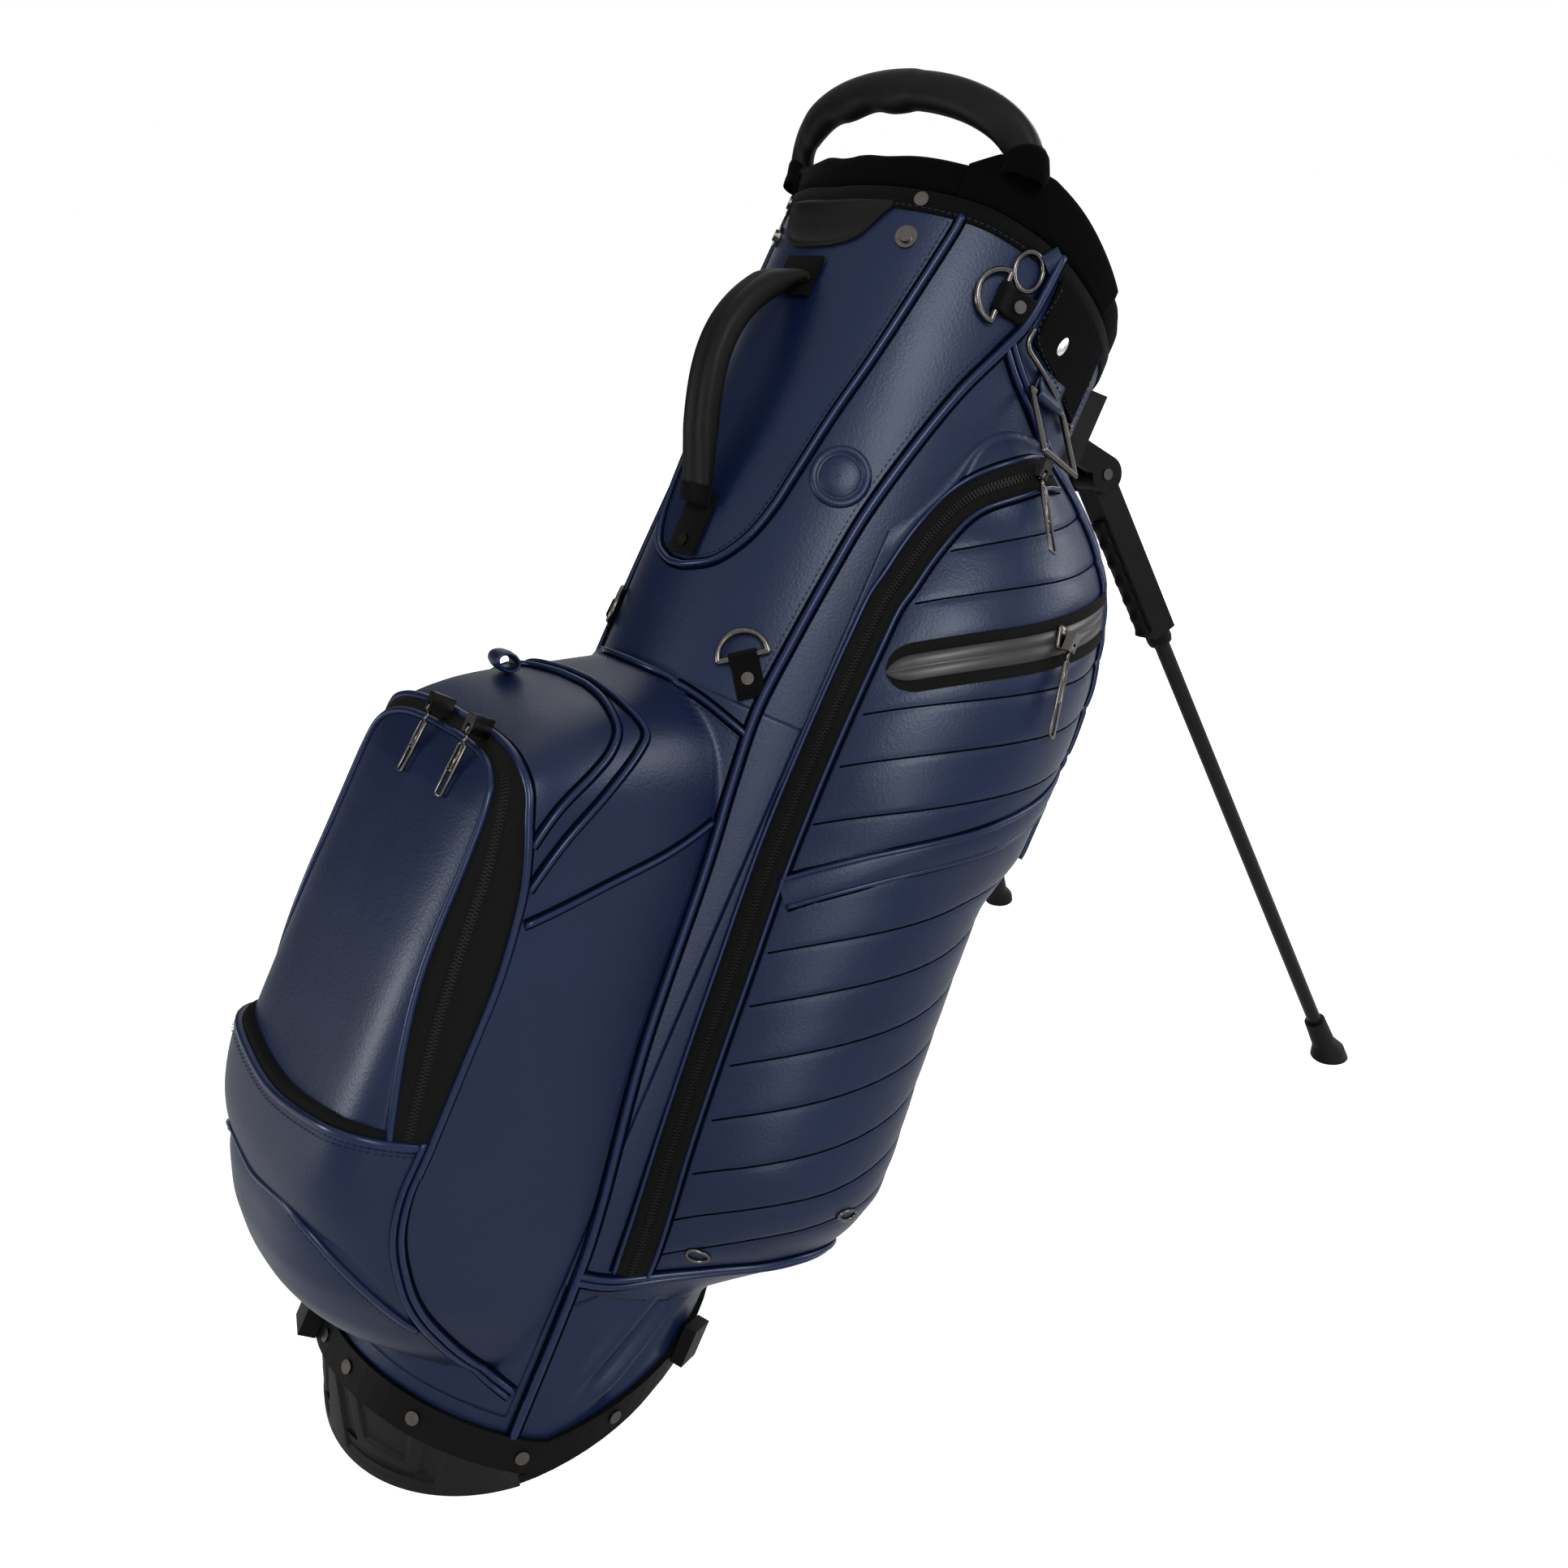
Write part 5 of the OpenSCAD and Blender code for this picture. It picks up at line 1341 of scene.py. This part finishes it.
class BAG_OT_pulls(bpy.types.Operator):
    """Zip pulls, and the plate under the slider of the valuables zip"""
    bl_idname = "stand_bag.pulls"
    bl_label = "Zip pulls"

    def execute(self, context):
        for name in ("ball_pull_a", "ball_pull_b", "apparel_pull_right", "apparel_pull_left",
                     "valuables_pull"):
            self.pull(name)
        plate = strip("welt_slider", apparel_r, np.linspace((101, 609), (101, 623), 8),
                      [(-4, 0), (-4, 3.6), (-3, 4.3), (3, 4.3), (4, 3.6), (4, 0)], closed=True)
        rest(paint(plate, MATS["metal"]), "metal")
        return {"FINISHED"}

    def pull(self, name):
        """Open metal frame hung from the slider's pin, with a tongue and a cross bar in it."""
        pin = next(j for j in frame["joints"] if j["child"] == name)
        eye, side = np.array(pin["pos_m"]), np.array(pin["axis"])
        side /= np.linalg.norm(side)
        ends = np.array([v.co for v in NODES[name].data.vertices]) - eye
        tip = ends[np.argmax(np.linalg.norm(ends, axis=1))]
        down = tip - side * (tip @ side)
        long = np.linalg.norm(down)
        down /= long
        out = np.cross(side, down)

        def at(along, across):
            return eye + np.outer(np.atleast_1d(along), down) + np.outer(np.atleast_1d(across), side)
        half, top, bar = 0.0030, 0.0085, long * 0.6
        loop = at([top, top, top + half / 2, long - 0.002, long - 0.001, long - 0.001, long - 0.002,
                   top + half / 2],
                  [half / 2, -half / 2, -half, -half, -half / 1.4, half / 1.4, half, half])
        k = circle(24)
        ring = eye + 0.0023 * (np.outer(np.cos(k), down) + np.outer(np.sin(k), out))
        obs = [tube_along("loop", loop, 0.0010, 10, up=out, wrap=True),
               tube_along("eye", ring, (0.0011, 0.0007), 10, up=side, wrap=True),
               tube_along("neck", at([0.0022, 0.005, 0.0088], [0, 0, 0]), (0.0009, 0.0014), 10, up=out),
               tube_along("tongue", at([top, (top + bar) / 2, bar], [0, 0, 0]), (0.0006, 0.0013), 10, up=out),
               tube_along("bar", at([bar, bar, bar], [-half, 0, half]), (0.0007, 0.0010), 10, up=out)]
        for ob in obs:
            paint(ob, MATS["metal"])
        rest(join(name + "_frame", obs), "metal", name, name)


# Lamps: name, place, size, and share of the lamp power
LAMPS = (("key", (-0.55, -1.8, 1.95), 0.8, 0.9), ("front", (-0.8, -2.1, 0.75), 0.6, 0.2),
         ("left", (-1.99, 0.98, 0.88), 0.55, 0.5), ("side", (2.0, -1.28, 1.12), 0.9, 0.5),
         ("back", (2.2, 0.6, 1.5), 0.9, 0.4))
LAMP_TARGET = (0.33, 0.0, 0.38)
FLOOR_HALF = 30.0
# Camera fitted to the photograph: place, heading, fall and roll in degrees, and lens in millimetres
CAMERA_PLACE = (-0.2321, -0.7124, 0.7604)
CAMERA_TURNS = (37.98, 24.14, 2.84)
CAMERA_LENS = 31.14


class BAG_OT_stage(bpy.types.Operator):
    """Floor, lights and the photograph's camera"""
    bl_idname = "stand_bag.stage"
    bl_label = "Stage"

    def execute(self, context):
        scene = context.scene
        scene.view_settings.view_transform = "Standard"
        self.surround(scene)
        s = FLOOR_HALF
        floor = mesh_object("floor", [(-s, -s, 0), (s, -s, 0), (s, s, 0), (-s, s, 0)], [(0, 1, 2, 3)])
        paint(floor, self.floor_material())
        self.lamps(scene)
        self.camera(scene)
        return {"FINISHED"}

    def lamps(self, scene):
        """Area lamps turned to the middle of the bag."""
        for name, loc, size, share in LAMPS:
            light = bpy.data.lights.new(name, "AREA")
            light.energy = settings().key_power * share
            light.size = size
            ob = bpy.data.objects.new(name, light)
            ob.location = loc
            ob.rotation_euler = (Vector(LAMP_TARGET) - Vector(loc)).to_track_quat("-Z", "Y").to_euler()
            scene.collection.objects.link(ob)

    def camera(self, scene):
        """Camera of the photograph."""
        a, e, r = (math.radians(k) for k in CAMERA_TURNS)
        fwd = Vector((math.sin(a) * math.cos(e), math.cos(a) * math.cos(e), -math.sin(e)))
        right = Vector((math.cos(a), -math.sin(a), 0))
        up = right.cross(fwd)
        ri = right * math.cos(r) - up * math.sin(r)
        ui = up * math.cos(r) + right * math.sin(r)
        cam = bpy.data.cameras.new("camera")
        cam.sensor_width = 36
        cam.lens = CAMERA_LENS
        cam.clip_start = 0.01
        ob = bpy.data.objects.new("camera", cam)
        m = Matrix((ri, ui, -fwd)).transposed().to_4x4()
        m.translation = Vector(CAMERA_PLACE)
        ob.matrix_world = m
        scene.collection.objects.link(ob)
        scene.camera = ob

    def surround(self, scene):
        """White for the camera, the same with a dim far side for reflections, soft light for the rest."""
        studio = bpy.data.worlds.new("studio")
        scene.world = studio
        studio.use_nodes = True
        tree = studio.node_tree
        bg = tree.nodes["Background"]
        bg.inputs["Color"].default_value = (1.0, 1.0, 1.0, 1)
        coord = tree.nodes.new("ShaderNodeTexCoord")
        toward = tree.nodes.new("ShaderNodeVectorMath")
        toward.operation = "DOT_PRODUCT"
        tree.links.new(coord.outputs["Generated"], toward.inputs[0])
        toward.inputs[1].default_value = (-0.30, 0.94, 0.10)
        dim = tree.nodes.new("ShaderNodeMapRange")
        dim.interpolation_type = "SMOOTHSTEP"
        for key, value in (("From Min", 0.62), ("From Max", 0.9), ("To Min", 1.0), ("To Max", 0.06)):
            dim.inputs[key].default_value = value
        tree.links.new(toward.outputs["Value"], dim.inputs["Value"])
        tree.links.new(seen(tree, settings().ambient, dim.outputs[0]), bg.inputs["Strength"])

    def floor_material(self):
        """Pale floor that fades to the white of the surroundings and keeps the object's shadow."""
        n = Nodes("floor")
        f = n.noise(5, 4, 0.6)
        n.set(base_color=n.mix(f, (0.80, 0.80, 0.80), (0.84, 0.84, 0.84)), roughness=0.8,
              specular_ior_level=0.1)
        near = n.add("ShaderNodeVectorMath", operation="DISTANCE")
        n.put(near.inputs[0], n.coord.outputs["Object"])
        near.inputs[1].default_value = (0.3, 0.0, 0.0)
        glow = n.add("ShaderNodeEmission")
        n.put(glow.inputs["Strength"], n.span(near.outputs["Value"], 0.74, 1.0, 0.45, 1.1))
        add = n.add("ShaderNodeAddShader")
        n.put(add.inputs[0], n.bsdf.outputs[0])
        n.put(add.inputs[1], glow.outputs[0])
        mix = n.add("ShaderNodeMixShader")
        n.put(mix.inputs[0], seen(n.tree, 0.0, 0.12))
        n.put(mix.inputs[1], n.bsdf.outputs[0])
        n.put(mix.inputs[2], add.outputs[0])
        n.put(n.out.inputs["Surface"], mix.outputs[0])
        return n.mat


def seen(tree, rest_level, mirrored_level):
    """1 for camera rays, a level for reflections and refractions, and a lower one for the others."""
    path = tree.nodes.new("ShaderNodeLightPath")

    def larger(a, b):
        n = tree.nodes.new("ShaderNodeMath")
        n.operation = "MAXIMUM"
        for value, sock in zip((a, b), n.inputs):
            if isinstance(value, float):
                sock.default_value = value
            else:
                tree.links.new(value, sock)
        return n.outputs[0]
    camera = path.outputs["Is Camera Ray"]
    total = larger(larger(camera, path.outputs["Is Glossy Ray"]), path.outputs["Is Transmission Ray"])
    span = tree.nodes.new("ShaderNodeMapRange")
    span.inputs["To Min"].default_value = rest_level
    tree.links.new(larger(camera, mirrored_level), span.inputs["To Max"])
    tree.links.new(total, span.inputs["Value"])
    return span.outputs[0]


class BAG_PT_panel(bpy.types.Panel):
    """Sidebar panel of the stand bag"""
    bl_idname = "BAG_PT_panel"
    bl_label = "Stand bag"
    bl_space_type = "VIEW_3D"
    bl_region_type = "UI"
    bl_category = "Stand bag"

    def draw(self, context):
        s = context.scene.stand_bag
        for key in SETTING_NAMES:
            self.layout.prop(s, key)
        for op in STEPS:
            self.layout.operator(op.bl_idname)


STEPS = (BAG_OT_materials, BAG_OT_tube, BAG_OT_ball_pocket, BAG_OT_side_pockets, BAG_OT_mouth,
         BAG_OT_handles, BAG_OT_hardware, BAG_OT_pulls, BAG_OT_stage)
CLASSES = (StandBagSettings,) + STEPS + (BAG_PT_panel,)


def register():
    for c in CLASSES:
        bpy.utils.register_class(c)
    bpy.types.Scene.stand_bag = bpy.props.PointerProperty(type=StandBagSettings)


def unregister():
    del bpy.types.Scene.stand_bag
    for c in reversed(CLASSES):
        bpy.utils.unregister_class(c)


def main():
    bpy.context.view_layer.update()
    register()
    bpy.ops.stand_bag.materials()
    bpy.ops.stand_bag.tube()
    bpy.ops.stand_bag.ball_pocket()
    bpy.ops.stand_bag.side_pockets()
    bpy.ops.stand_bag.mouth()
    bpy.ops.stand_bag.handles()
    bpy.ops.stand_bag.hardware()
    bpy.ops.stand_bag.pulls()
    bpy.ops.stand_bag.stage()


if __name__ == "__main__":
    main()
